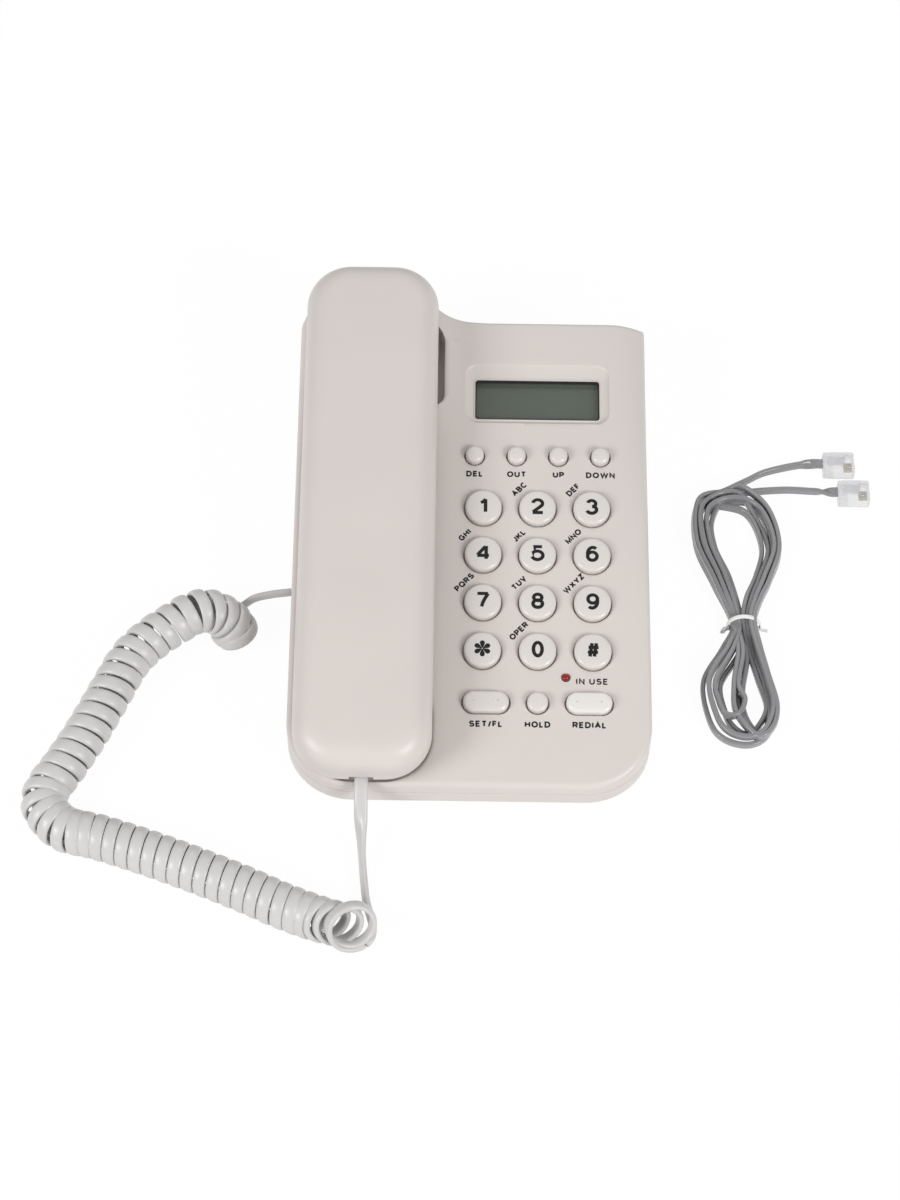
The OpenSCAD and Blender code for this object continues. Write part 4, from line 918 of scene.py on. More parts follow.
def brick(a, b):
    """A box from corner a to corner b."""
    edge = ((a[0], a[1]), (b[0], a[1]), (b[0], b[1]), (a[0], b[1]))
    return loft([level(edge, a[2]), level(edge, b[2])])


EAR_X, EAR_V, EAR_DEPTH, EAR_R = (-61.5, -10.8), (70.6, 106.2), 7.3, (5, 9.5)
MOUTH_X, MOUTH_V, MOUTH_DEPTH, MOUTH_R = (-59.5, -13.4), (-78.8, -37.0), 5.9, 17
WELL_T = 1.2  # the wells' walls
HOOK, HOOK_SLOT, HOOK_R = (HANDSET_X, 60), (8.6, 6.6), 0.7
CORD_JACK_HOLE = ((-72, -24.7, 4), (-62, -13.3, 17.2))
LINE_JACK_HOLE = ((-28.5, 80, 4), (-15.5, 92, 17.2))
POSTS = {(-56.5, 32): 31, (57.5, 79): 33, (56.5, -83.5): 13.2, (-5, -88): 13.6}  # screw posts and their tops
BOARD_BOSSES = [(KEYS_X + side * 28.5, v) for side in (-1, 1) for v in (-57, 0, 57, 90)]


def make_upper_case(finishes):
    """The upper half of the case: panel, rounded sides, saddle, wells, holes and the display's frame."""
    obj = piece("upper_case_shell", case_form(0, PART_Z))
    hollow = piece("hollow", case_form(WALL, PART_Z - 1, across=24, along=36, arc=4))
    reshape(hollow, block((EAR_X[0] - WELL_T, EAR_X[1] + WELL_T), (EAR_V[0] - WELL_T, EAR_V[1] + 3),
                          -EAR_DEPTH - WELL_T, 3, EAR_R[0] + WELL_T), place=PANEL)
    reshape(hollow, block(MOUTH_X, MOUTH_V, -MOUTH_DEPTH - WELL_T, 3, MOUTH_R, WELL_T), place=PANEL)
    reshape(obj, hollow)
    reshape(obj, block(MOUTH_X, MOUTH_V, -MOUTH_DEPTH - WELL_T, -MOUTH_DEPTH + 1, MOUTH_R, WELL_T), "UNION",
            PANEL)
    reshape(obj, well(EAR_X, EAR_V, EAR_DEPTH, *EAR_R))
    reshape(obj, well(MOUTH_X, MOUTH_V, MOUTH_DEPTH, MOUTH_R, rim=1.3))
    holes = [shifted(hole(*KEY_KINDS[kind][:2]), x, v) for _, x, v, kind in key_places()]
    holes.append(shifted(hole((3.2, 3.2), 0.12), *LAMP))
    reshape(obj, together(holes + [display_cut()]), place=PANEL)
    slot = [[on_case(x, v, below) for x, v in box_outline(HOOK, HOOK_SLOT, HOOK_R, grow, arc=4)]
            for grow, below in ((0.6, -4), (0.42, -0.03), (0.4, 0), (0.14, 0.08), (0, 0.4), (0, 9))]
    reshape(obj, loft(slot))
    reshape(obj, together([brick(*CORD_JACK_HOLE), brick(*LINE_JACK_HOLE)]))
    reshape(obj, together([pins([post], 4.2, PART_Z, top, 24) for post, top in POSTS.items()]), "UNION")
    reshape(obj, pins(POSTS, 1.55, PART_Z - 1, PART_Z + 4.5, 16))
    reshape(obj, pins(BOARD_BOSSES, 2.4, -7.5, -1.9, 20), "UNION", PANEL)
    reshape(obj, pins(BOARD_BOSSES, 1.15, -8, -3.2, 12), place=PANEL)
    finish(obj, "base", finishes["shell"], "body_plastic", "upper_case")




# --- Keys and lamp ---
STEM_R, STEM_LOW, FLANGE_LOW, FLANGE_TOP, FLANGE_W, CAP_LOW = 2.2, -3.6, -3.2, -2.4, 0.7, -1.0
EDGE_STEPS, DOME_STEPS = 8, 10
EDGE_SHARE = 0.8  # a cap's rounded edge is lower than it is wide
OVAL_END_GAP = 0.55
KEY_BODIES = {place[0]: place[0] + "_cap" for place in key_places()}


def key_profile(hole_r, cap_r, top, edge, dome):
    """A round key's profile from its foot to its top: foot, flange, cap with a rounded edge, dome."""
    profile = [(STEM_R, STEM_LOW), (STEM_R, FLANGE_LOW), (hole_r + FLANGE_W, FLANGE_LOW),
               (hole_r + FLANGE_W, FLANGE_TOP), (cap_r, FLANGE_TOP), (cap_r, CAP_LOW)]
    flat = cap_r - edge
    shoulder = top - flat ** 2 / dome - edge * EDGE_SHARE
    for k in range(EDGE_STEPS + 1):
        a = math.radians(90 * k / EDGE_STEPS)
        profile.append((flat + edge * math.cos(a), shoulder + edge * EDGE_SHARE * math.sin(a)))
    radii = [flat * (1 - k / DOME_STEPS) for k in range(1, DOME_STEPS)]
    return profile + [(r, top - r * r / dome) for r in radii] + [(0.05, top)]


def oval_key(length, width, top, edge, dome):
    """An oval key: foot, flange, cap with a rounded edge and a slightly domed top."""
    def ring(grow, w):
        edge_line = box_outline((0, 0), (length, width), width / 2, grow, arc=10, across=10, along=1)
        return level(edge_line, w)

    def domed(grow, w):
        return [(x, y, w - (x * x / 4 + y * y) / dome) for x, y, w in ring(grow, w)]

    rings = [ring(1.0, FLANGE_LOW), ring(1.0, FLANGE_TOP), ring(0, FLANGE_TOP), ring(0, CAP_LOW)]
    for k in range(EDGE_STEPS + 1):
        a = math.radians(90 * k / EDGE_STEPS)
        rings.append(domed(-edge + edge * math.cos(a), top - edge * EDGE_SHARE * (1 - math.sin(a))))
    return loft(rings + [domed(grow, top) for grow in (-1.9, -2.6, -3.4, -4.1)])


def make_keys(finishes):
    """The number keys, function buttons, oval keys and the hold key, each on its own body."""
    for node, x, v, kind in key_places():
        (length, width), _, gap, edge, top, dome = KEY_KINDS[kind]
        place = PANEL @ moved(x, v)
        if kind == "oval":
            shape = oval_key(length - 2 * OVAL_END_GAP, width - 2 * gap, top, edge, dome)
        else:
            shape = turned(key_profile(length / 2, length / 2 - gap, top, edge, dome), 64)
        obj = piece(node + "_cap", shape, place, sharp=40)
        if kind == "oval":
            stems = pins([(-4, 0), (4, 0)], STEM_R, STEM_LOW, FLANGE_LOW + 0.1, 20)
            reshape(obj, stems, "UNION", place, sharp=40)
        # The redial key takes the lighter copy of the key colour, which is painted light.
        look = "redial" if node == "key_redial" else "key"
        finish(obj, KEY_BODIES[node], finishes[look], look + "_plastic", node)


def make_lamp(finishes):
    """The round red lamp that shows the line is in use."""
    r, low = 1.5, -0.3
    profile = [(1.9, -3.2), (1.9, -2.6), (r, -2.6), (r, low)]
    profile += [(r * math.cos(math.radians(a)), low + r * math.sin(math.radians(a))) for a in range(9, 90, 9)]
    obj = piece("in_use_lamp_lens", turned(profile + [(0.05, low + r)], 40), PANEL @ moved(*LAMP), sharp=40)
    finish(obj, "base", finishes["lamp"], "lamp_red", "in_use_lamp")


# --- Printing ---
def bow(x, y, rx, ry, start, end):
    """Points on an ellipse from one angle to another, for a letter's round stroke."""
    count = max(6, int(abs(end - start) / 12))
    return [(x + rx * math.cos(math.radians(start + (end - start) * k / count)),
             y + ry * math.sin(math.radians(start + (end - start) * k / count))) for k in range(count + 1)]


ROUND = bow(0.5, 0.5, 0.5, 0.5, 90, 450)
# Each sign: its width over its height, and its strokes, all from 0 to 1 across and up.
SIGNS = {
    "0": (0.68, [ROUND]),
    "1": (0.5, [[(0, 0.72), (0.5, 0.8), (0.88, 1)], [(0.88, 1), (0.88, 0)]]),
    "2": (0.78, [bow(0.5, 0.71, 0.47, 0.29, 172, -38) + [(0.04, 0.04)], [(0, 0), (1, 0)]]),
    "3": (0.73, [bow(0.48, 0.745, 0.43, 0.255, 165, -82), bow(0.48, 0.275, 0.52, 0.275, 86, -165)]),
    "4": (0.86, [[(0.76, 0), (0.76, 1)], [(0.7, 0.96), (0.02, 0.3)], [(0, 0.26), (1, 0.26)]]),
    "5": (0.78, [[(0.92, 1), (0.2, 1), (0.08, 0.46)] + bow(0.47, 0.325, 0.53, 0.325, 138, -163)]),
    "6": (0.73, [bow(0.5, 0.315, 0.5, 0.315, 90, 450), bow(0.56, 0.5, 0.56, 0.5, 52, 192)]),
    "7": (0.8, [[(0, 1), (1, 1)], [(1, 1), (0.72, 0.64), (0.5, 0.3), (0.4, 0)]]),
    "8": (0.73, [bow(0.5, 0.755, 0.43, 0.245, 90, 450), bow(0.5, 0.275, 0.5, 0.275, 90, 450)]),
    "9": (0.73, [bow(0.5, 0.685, 0.5, 0.315, 90, 450), bow(0.44, 0.5, 0.56, 0.5, 12, -128)]),
    "#": (0.8, [[(0.2, 0), (0.4, 1)], [(0.6, 0), (0.8, 1)], [(0, 0.32), (0.94, 0.32)],
                [(0.06, 0.68), (1, 0.68)]]),
    "A": (0.95, [[(0, 0), (0.5, 1), (1, 0)], [(0.2, 0.34), (0.8, 0.34)]]),
    "B": (0.8, [[(0.6, 1), (0, 1), (0, 0), (0.6, 0)], bow(0.56, 0.76, 0.36, 0.24, 90, -90) + [(0, 0.52)],
                bow(0.58, 0.26, 0.42, 0.26, 90, -90)]),
    "C": (0.92, [bow(0.5, 0.5, 0.5, 0.5, 42, 318)]),
    "D": (0.88, [[(0.45, 1), (0, 1), (0, 0), (0.45, 0)], bow(0.42, 0.5, 0.58, 0.5, 90, -90)]),
    "E": (0.74, [[(1, 1), (0, 1), (0, 0), (1, 0)], [(0, 0.52), (0.9, 0.52)]]),
    "F": (0.7, [[(1, 1), (0, 1), (0, 0)], [(0, 0.5), (0.86, 0.5)]]),
    "G": (0.95, [bow(0.5, 0.5, 0.5, 0.5, 42, 325) + [(0.95, 0.2), (0.95, 0.47), (0.56, 0.47)]]),
    "H": (0.84, [[(0, 0), (0, 1)], [(1, 0), (1, 1)], [(0, 0.53), (1, 0.53)]]),
    "I": (0.0, [[(0.5, 0), (0.5, 1)]]),
    "J": (0.56, [[(1, 1)] + bow(0.5, 0.3, 0.5, 0.3, 0, -170)]),
    "K": (0.86, [[(0, 0), (0, 1)], [(0.97, 1), (0.02, 0.36)], [(0.34, 0.6), (1, 0)]]),
    "L": (0.66, [[(0, 1), (0, 0), (1, 0)]]),
    "M": (1.0, [[(0, 0), (0, 1), (0.5, 0.1), (1, 1), (1, 0)]]),
    "N": (0.84, [[(0, 0), (0, 1), (1, 0), (1, 1)]]),
    "O": (1.0, [ROUND]),
    "P": (0.78, [[(0.55, 1), (0, 1), (0, 0)], bow(0.56, 0.73, 0.44, 0.27, 90, -90) + [(0, 0.46)]]),
    "Q": (1.0, [ROUND, [(0.6, 0.24), (1, -0.04)]]),
    "R": (0.84, [[(0.55, 1), (0, 1), (0, 0)], bow(0.56, 0.74, 0.42, 0.26, 90, -90) + [(0, 0.48)],
                 [(0.56, 0.48), (0.96, 0)]]),
    "S": (0.82, [bow(0.5, 0.745, 0.45, 0.255, 25, 262) + bow(0.5, 0.265, 0.5, 0.265, 78, -155)]),
    "T": (0.82, [[(0, 1), (1, 1)], [(0.5, 1), (0.5, 0)]]),
    "U": (0.84, [[(0, 1)] + bow(0.5, 0.34, 0.5, 0.34, 180, 360) + [(1, 1)]]),
    "V": (0.9, [[(0, 1), (0.5, 0), (1, 1)]]),
    "W": (1.3, [[(0, 1), (0.25, 0), (0.5, 0.94), (0.75, 0), (1, 1)]]),
    "X": (0.86, [[(0, 0), (1, 1)], [(0, 1), (1, 0)]]),
    "Y": (0.88, [[(0, 1), (0.5, 0.44), (1, 1)], [(0.5, 0.44), (0.5, 0)]]),
    "Z": (0.8, [[(0.02, 1), (0.98, 1), (0.02, 0), (1, 0)]]),
    "/": (0.5, [[(0, -0.06), (1, 1.06)]]),
}


def inked(line, width):
    """A stroke's band of that width along a line: points and faces."""
    again = math.dist(line[0], line[-1]) < 1e-6
    if again:
        line = line[:-1]
    count = len(line)
    left, right = [], []
    for i in range(count):
        ways = []
        for a, b in ((i - 1, i), (i, i + 1)):
            if again or (a >= 0 and b < count):
                a, b = line[a % count], line[b % count]
                size = math.dist(a, b)
                ways.append(((b[0] - a[0]) / size, (b[1] - a[1]) / size))
        x, y = sum(w[0] for w in ways), sum(w[1] for w in ways)
        size = math.hypot(x, y) or 1.0
        x, y = x / size, y / size
        lean = max(abs(x * ways[0][0] + y * ways[0][1]), 0.45)
        reach = width / 2 / lean
        left.append((line[i][0] - y * reach, line[i][1] + x * reach))
        right.append((line[i][0] + y * reach, line[i][1] - x * reach))
    points = left + right
    pairs = [(i, (i + 1) % count) for i in range(count if again else count - 1)]
    return points, [(i, count + i, count + j, j) for i, j in pairs]


def lettering(text, cap, stroke, gap):
    """Printed letters as flat bands, middled on the origin: points and faces."""
    shapes, at = [], 0.0
    for sign in text:
        if sign == " ":
            at += cap * 0.5
            continue
        wide, strokes = SIGNS[sign]
        wide = max(wide * cap, stroke)
        for line in strokes:
            line = [(at + stroke / 2 + x * (wide - stroke), stroke / 2 + y * (cap - stroke)) for x, y in line]
            shapes.append(inked(line, stroke))
        at += wide + gap
    points, faces = together(shapes)
    return [(x - (at - gap) / 2, y - cap / 2) for x, y in points], faces


def star():
    """A star of six full petals."""
    half_widths = ((0.2, 0.12), (0.9, 0.44), (1.6, 0.78), (2.2, 0.92), (2.7, 0.8), (3.1, 0.4))
    faces = [(2 * j, 2 * j + 2, 2 * j + 3, 2 * j + 1) for j in range(len(half_widths) - 1)]
    petals = []
    for k in range(6):
        c, s = math.cos(math.radians(60 * k + 90)), math.sin(math.radians(60 * k + 90))
        petals.append(([(r * c - side * half * s, r * s + side * half * c)
                        for r, half in half_widths for side in (-1, 1)], faces))
    return together(petals)


INK_TOP, INK_LOW = 0.03, -0.05  # from the printed surface


def print_on(name, flats, height, place, body, ink, step=0.8):
    """Ink on a surface: flat faces cut to a fine grid, laid on height(x, y), with a thin edge."""
    work = bmesh.new()
    for points, faces, x, y, turn in flats:
        c, s = math.cos(math.radians(turn)), math.sin(math.radians(turn))
        verts = [work.verts.new((x + c * p[0] - s * p[1], y + s * p[0] + c * p[1], 0)) for p in points]
        for face in faces:
            work.faces.new([verts[i] for i in face])
    if step:
        for axis, normal in ((0, Vector((1, 0, 0))), (1, Vector((0, 1, 0)))):
            values = [vert.co[axis] for vert in work.verts]
            at, end = min(values) + step / 2, max(values)
            while at < end:
                bmesh.ops.bisect_plane(work, geom=work.verts[:] + work.edges[:] + work.faces[:],
                                       plane_co=normal * at, plane_no=normal, dist=1e-6)
                at += step
    bmesh.ops.recalc_face_normals(work, faces=work.faces)
    for face in work.faces:
        if face.normal.z < 0:
            face.normal_flip()
    grown = bmesh.ops.extrude_face_region(work, geom=work.faces[:])
    for item in grown["geom"]:
        if isinstance(item, bmesh.types.BMVert):
            item.co.z = 1
    for vert in work.verts:
        vert.co.z = height(vert.co.x, vert.co.y) + (INK_TOP if vert.co.z > 0.5 else INK_LOW)
        vert.co = place @ (vert.co * MM)
    bmesh.ops.recalc_face_normals(work, faces=work.faces)
    mesh = bpy.data.meshes.new(name)
    work.to_mesh(mesh)
    work.free()
    finish(placed(name, mesh), body, ink, "dark_plastic")


# Each kind of print: the height of its letters, their stroke and the gap between them.
DIGIT_PRINT, GROUP_PRINT, LABEL_PRINT = (6.5, 1.3, 0), (2.35, 0.6, 0.24), (2.4, 0.6, 0.36)
GROUP_X, GROUP_V, GROUP_TURN = -6.8, 8.1, 46  # from the key's middle
LETTER_GROUPS = {"key_2": "ABC", "key_3": "DEF", "key_4": "GHI", "key_5": "JKL", "key_6": "MNO",
                 "key_7": "PQRS", "key_8": "TUV", "key_9": "WXYZ", "key_0": "OPER"}
LABELS = {"button_delete": "DEL", "button_out": "OUT", "button_up": "UP", "button_down": "DOWN",
          "key_set": "SET/FL", "key_hold": "HOLD", "key_redial": "REDIAL"}
BUTTON_LABEL_V, KEY_LABEL_V = -7.3, -8.1
LAMP_LABEL_V = -39.9
# The display's black border, printed just inside its window. Along the sides and foot it is a real printed
# border. Its wider band along the top is a painted shadow of the frame's top wall falling on the display.
BORDER_SHADOW_OUTER, BORDER_SHADOW_OUTER_R = (KEYS_X - 23.3, KEYS_X + 23.3, 66.5, 82.9), 1.1
BORDER_SHADOW_INNER, BORDER_SHADOW_INNER_R = (KEYS_X - 22.95, KEYS_X + 22.95, 66.75, 81.7), 1.2
BORDER_SHADOW_Z = -1.59


def digit_height(x, y):
    """The height of a number key's domed top at a place on it."""
    top, dome = KEY_KINDS["digit"][4:]
    return top - (x * x + y * y) / dome


def make_printing(finishes):
    """The digits on the keys, the plain words and letters on the panel, and the display's black border, whose
    wider top band is painted shadow.
    """
    ink, panel = finishes["ink"], []
    for node, x, v, kind in key_places():
        if kind == "digit":
            sign = {"key_hash": "#"}.get(node, node[4:])
            flat = star() if sign == "star" else lettering(sign, *DIGIT_PRINT)
            print_on(node + "_print", [(*flat, 0, 0, 0)], digit_height, PANEL @ moved(x, v),
                     KEY_BODIES[node], ink)
        if node in LETTER_GROUPS:
            panel.append((*lettering(LETTER_GROUPS[node], *GROUP_PRINT), x + GROUP_X, v + GROUP_V,
                          GROUP_TURN))
        if node in LABELS:
            down = BUTTON_LABEL_V if kind == "button" else KEY_LABEL_V
            panel.append((*lettering(LABELS[node], *LABEL_PRINT), x, v + down, 0))
    panel.append((*lettering("IN", 2.4, 0.52, 0.55), 39.8, LAMP_LABEL_V, 0))
    panel.append((*lettering("USE", 2.4, 0.52, 0.5), 46.4, LAMP_LABEL_V, 0))
    # The black border round the display: printed ink, with a wider top band that is painted shadow.
    outer = outline(*BORDER_SHADOW_OUTER, BORDER_SHADOW_OUTER_R, BORDER_SHADOW_OUTER_R)
    inner = outline(*BORDER_SHADOW_INNER, BORDER_SHADOW_INNER_R, BORDER_SHADOW_INNER_R)
    n = len(outer)
    rim = (outer + inner, [(i, (i + 1) % n, n + (i + 1) % n, n + i) for i in range(n)])
    print_on("display_mask", [(*rim, 0, 0, 0)], lambda x, y: BORDER_SHADOW_Z, PANEL, "base", ink, step=0)
    print_on("panel_print", panel, lambda x, y: 0.0, PANEL, "base", ink, step=0)


# --- Handset ---
BACK_H, EDGE_H, EDGE_W = 13.5, 8.8, 10.0
HALF_HW, HALF_HL, FRONT_HR, REAR_HR = 24.8, 101.5, 17.0, 16.5
# Each cup: its size, its middle along the handset, its corners and the height of its face.
EAR_CUP, MOUTH_CUP = ((45.2, 30.4), 67.9, 14.0, -14.0), ((39.0, 34.0), -78.9, 15.0, -12.6)
CUP_WALL, SHELL_T = 1.8, 2.0
SCREWS = ((0, -35), (0, 47))
TAIL_NOTCH = ((-4.35, -103, -5), (4.35, -96.9, 1))
JACK_NOTCH = ((-5.575, -96.9, -8.75), (5.575, -93.1, 2))


# How far the back falls at its sides, towards the ear end and towards the mouth end.
SIDE_FALL, EAR_FALL, MOUTH_FALL = 0.765, 0.935, 0.425


def back_top(x, y, inset=0.0):
    """Height of the handset's back over its seam."""
    side, tip = HALF_HW - inset - abs(x), HALF_HL - inset - abs(y)
    r = (FRONT_HR if y < 0 else REAR_HR) - inset
    edge = r - math.hypot(r - side, r - tip) if side < r and tip < r else min(side, tip)
    reach = EDGE_W - inset * 0.5
    fall = (SIDE_FALL * (x / HALF_HW) ** 2 + EAR_FALL * ease((y - 62) / 45)
            + MOUTH_FALL * ease((-y - 70) / 32))
    return BACK_H - inset - fall - rounded(max(edge, 0), reach, EDGE_H - inset, 2.3)


def handset_ring(inset, **counts):
    """The handset's outline, inset on every side."""
    return outline(-HALF_HW + inset, HALF_HW - inset, -HALF_HL + inset, HALF_HL - inset,
                   max(FRONT_HR - inset, 0.5), max(REAR_HR - inset, 0.5), **counts)


def back_form(inset, low, arc=8, across=22, along=60):
    """The back shell's closed outer form, or the hollow inside it."""
    counts = {"arc": arc, "across": across, "along": along}
    edge = handset_ring(inset, **counts)
    tops = [back_top(x, y, inset) for x, y in edge]
    rings = []
    if not inset:
        rings.append(level(handset_ring(0.3, **counts), low))
        low += 0.32
    for share in (0, 0.5, 1):
        rings.append([(x, y, low + (top - low) * share) for (x, y), top in zip(edge, tops)])
    for more in (0.03, 0.12, 0.3, 0.55, 0.9, 1.4, 2.1, 3.0, 4.2, 5.6, 7.4, 9.6, 12.0):
        rings.append([(x, y, back_top(x, y, inset)) for x, y in handset_ring(inset + more, **counts)])
    return closed(capped(rings, across + 2 * arc, along + 2 * arc, lambda x, y: back_top(x, y, inset)),
                  len(edge))


def cup_form(cup, top, wall=0.0, edge=2.0):
    """A handset cup up to a height, or the hollow inside its wall, with a rounded lower edge."""
    size, middle, r, low = cup
    rings = [(-wall - edge * (1 - math.sin(a)), low + wall + edge * (1 - math.cos(a)))
             for a in (math.radians(15 * k) for k in range(7))]
    return loft([level(box_outline((0, middle), size, r, grow, arc=8, across=4, along=2), z)
                 for grow, z in rings + [(-wall, top)]])


def carve(obj, shape, operation="DIFFERENCE"):
    """Cuts a shape from a shell of the handset, or joins it on."""
    reshape(obj, shape, operation, HANDSET, sharp=40)


def make_handset(finishes):
    """The handset's two shells, with their cups, holes, notch and screw places."""
    back = piece("handset_back", back_form(0, 0), HANDSET, sharp=40)
    carve(back, back_form(SHELL_T, -1, arc=4, across=10, along=24))
    carve(back, pins(SCREWS, 3, 0, 12, 24), "UNION")
    carve(back, pins(SCREWS, 1.15, -1, 7, 16))
    finish(back, "handset", finishes["shell"], "body_plastic", "handset_back_shell")
    rings = [level(handset_ring(inset, arc=8, across=8, along=12), z) for inset, z in (
        (0.3, 0), (0, -0.32), (0, -1.9), (0.08, -2.3), (0.32, -2.68), (0.7, -2.92), (1.1, -3.0))]
    front = piece("handset_front", loft(rings[::-1]), HANDSET, sharp=40)
    for cup in (EAR_CUP, MOUTH_CUP):
        carve(front, cup_form(cup, -1.6), "UNION")
    pocket = handset_ring(SHELL_T, arc=8, across=8, along=12)
    carve(front, loft([level(pocket, -1.4), level(pocket, 1)]))
    for cup in (EAR_CUP, MOUTH_CUP):
        carve(front, cup_form(cup, 1.5, CUP_WALL, 0.8))
    carve(front, pins(SCREWS, 3, -2.5, 0, 24), "UNION")
    _, ear_y, _, ear_z = EAR_CUP
    _, mouth_y, _, mouth_z = MOUTH_CUP
    holes = [(0, ear_y, ear_z), (0, mouth_y + 6, mouth_z)]
    holes += [(5 * math.cos(math.radians(60 * k)), ear_y + 5 * math.sin(math.radians(60 * k)), ear_z)
              for k in range(6)]
    sound_hole = turned([(1.35, -1), (1.25, 0.02), (1.02, 0.25), (1.0, 3)], 20)
    screw_hole = turned([(2.3, -4), (2.3, -3.02), (2.15, -2.85), (2.15, -2.0), (1.25, -1.98), (1.25, 2)], 24)
    carve(front, together([shifted(sound_hole, *place) for place in holes]
                          + [shifted(screw_hole, *place) for place in SCREWS]))
    carve(front, brick(*TAIL_NOTCH))
    carve(front, brick(*JACK_NOTCH))
    finish(front, "handset", finishes["shell"], "body_plastic", "handset_front_shell")


# --- Parts that keep their solids ---
KEPT = {"lower_case": "shell", "rubber_feet": "rubber", "case_screws": "steel", "display_window": "window",
        "lcd_panel": "lcd", "lcd_holder": "holder", "lcd_connector": "elastomer", "key_board": "board",
        "main_board": "board", "board_screws": "steel", "key_membrane": "membrane", "ringer": "jack",
        "hook_spring": "steel", "hook_switch": "jack", "line_jack": "jack", "base_cord_jack": "jack",
        "ballast_plate": "steel", "ribbon_cable": "ribbon", "receiver": "jack", "receiver_seal": "rubber",
        "microphone": "steel", "microphone_boot": "rubber", "handset_weight": "steel",
        "handset_cord_jack": "jack", "handset_screws": "steel", "hook_plunger": "holder"}
BEVELLED = {"lower_case": 0.5, "rubber_feet": 0.4, "hook_plunger": 0.9, "display_window": 0.25,
            "line_jack": 0.25, "base_cord_jack": 0.25, "ringer": 0.4, "receiver": 0.3, "lcd_holder": 0.15}


def finish_kept_parts(finishes):
    """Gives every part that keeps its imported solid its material, and soft moulded edges."""
    for node, finishing in KEPT.items():
        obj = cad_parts[node]
        dress(obj, finishes[finishing])
        if node in BEVELLED:
            bevel = obj.modifiers.new("edges", "BEVEL")
            bevel.width, bevel.segments, bevel.limit_method = BEVELLED[node] * MM, 3, "ANGLE"
            bevel.angle_limit = math.radians(50)


# --- Stage ---
# Each softbox: its place, the place that it faces and its size, in metres, and its setting.
SOFTBOXES = {"main_softbox": ((0.85, -0.75, 0.75), (0.0, -0.02, 0.03), 0.45, "main_light"),
             "front_softbox": ((-0.95, -0.6, 0.7), (-0.02, -0.02, 0.02), 0.5, "fill_light"),
             "rear_softbox": ((0.1, 0.9, 0.9), (0.0, 0.02, 0.03), 0.8, "rear_light")}
FLOOR = 4000


def make_stage(look):
    """The white floor, the soft lamps and the world."""
    corners = [(-FLOOR, -FLOOR, 0), (FLOOR, -FLOOR, 0), (FLOOR, FLOOR, 0), (-FLOOR, FLOOR, 0)]
    floor = piece("floor", (corners, [(0, 1, 2, 3)]))
    dress(floor, floor_paper(look))
    world = bpy.data.worlds.new("Soft room")
    world.use_nodes = True
    tree = world.node_tree
    tree.nodes.clear()
    sky = add_node(tree, "ShaderNodeBackground", {"Color": (1, 1, 1, 1), "Strength": look.room})
    white = add_node(tree, "ShaderNodeBackground", {"Color": (1, 1, 1, 1), "Strength": 1.0})
    path = add_node(tree, "ShaderNodeLightPath").outputs
    seen = add_node(tree, "ShaderNodeMixShader", links={0: path["Is Camera Ray"], 1: sky.outputs[0],
                                                       2: white.outputs[0]})
    add_node(tree, "ShaderNodeOutputWorld", links={"Surface": seen.outputs[0]})
    bpy.context.scene.world = world
    for name, (place, aim, size, power) in SOFTBOXES.items():
        lamp = bpy.data.lights.new(name, "AREA")
        lamp.shape, lamp.size, lamp.energy = "SQUARE", size, getattr(look, power)
        obj = placed(name, lamp)
        obj.location = place
        obj.rotation_euler = (Vector(aim) - Vector(place)).to_track_quat("-Z", "Y").to_euler()
    bpy.context.scene.view_settings.view_transform = "Standard"


def floor_paper(look):
    """Seamless white paper: lit for the camera and for reflections, plain diffuse for the object."""
    material, tree, place = new_material("Seamless white paper")
    path = add_node(tree, "ShaderNodeLightPath").outputs
    glossy = add_node(tree, "ShaderNodeMath", {"operation": "MAXIMUM"},
                      {0: path["Is Camera Ray"], 1: path["Is Glossy Ray"]})
    seen = add_node(tree, "ShaderNodeMath", {"operation": "MAXIMUM"},
                    {0: glossy.outputs[0], 1: path["Is Transmission Ray"]})
    fibre = add_node(tree, "ShaderNodeTexNoise", {"Scale": per_metre(2)}, {"Vector": place})
    bump = add_node(tree, "ShaderNodeBump", {"Strength": 0.1, "Distance": 0.02 * MM},
                    {"Height": fibre.outputs["Fac"]})
    matt = add_node(tree, "ShaderNodeBsdfDiffuse", {"Color": (0.8, 0.8, 0.8, 1)},
                    {"Normal": bump.outputs["Normal"]})
    lit = add_node(tree, "ShaderNodeEmission", {"Color": (1, 1, 1, 1), "Strength": 1.02})
    bright = add_node(tree, "ShaderNodeMixShader", {0: look.floor_shadow},
                      {1: lit.outputs[0], 2: matt.outputs[0]})
    mixed = add_node(tree, "ShaderNodeMixShader",
                     links={0: seen.outputs[0], 1: matt.outputs[0], 2: bright.outputs[0]})
    add_node(tree, "ShaderNodeOutputMaterial", links={"Surface": mixed.outputs[0]})
    return material


# The camera: how far it looks down, its roll, its lens and the place that it looks at from a metre away.
LOOK_DOWN, ROLL, LENS, LOOK_AT = 58.4, 0.785, 82.3, Vector((-0.0075, -0.0285, 0.0238))


def make_camera():
    """The camera, at the telephone's front and well above it."""
    lift, roll = math.radians(LOOK_DOWN), math.radians(ROLL)
    across, up = Vector((1, 0, 0)), Vector((0, math.sin(lift), math.cos(lift)))
    right = across * math.cos(roll) + up * math.sin(roll)
    above = up * math.cos(roll) - across * math.sin(roll)
    back = -Vector((0, math.cos(lift), -math.sin(lift)))
    camera = bpy.data.cameras.new("camera")
    camera.lens, camera.sensor_width, camera.sensor_fit = LENS, 36.0, "AUTO"
    obj = placed("camera", camera)
    obj.matrix_world = Matrix.Translation(LOOK_AT + back) @ Matrix((right, above, back)).transposed().to_4x4()
    bpy.context.scene.camera = obj


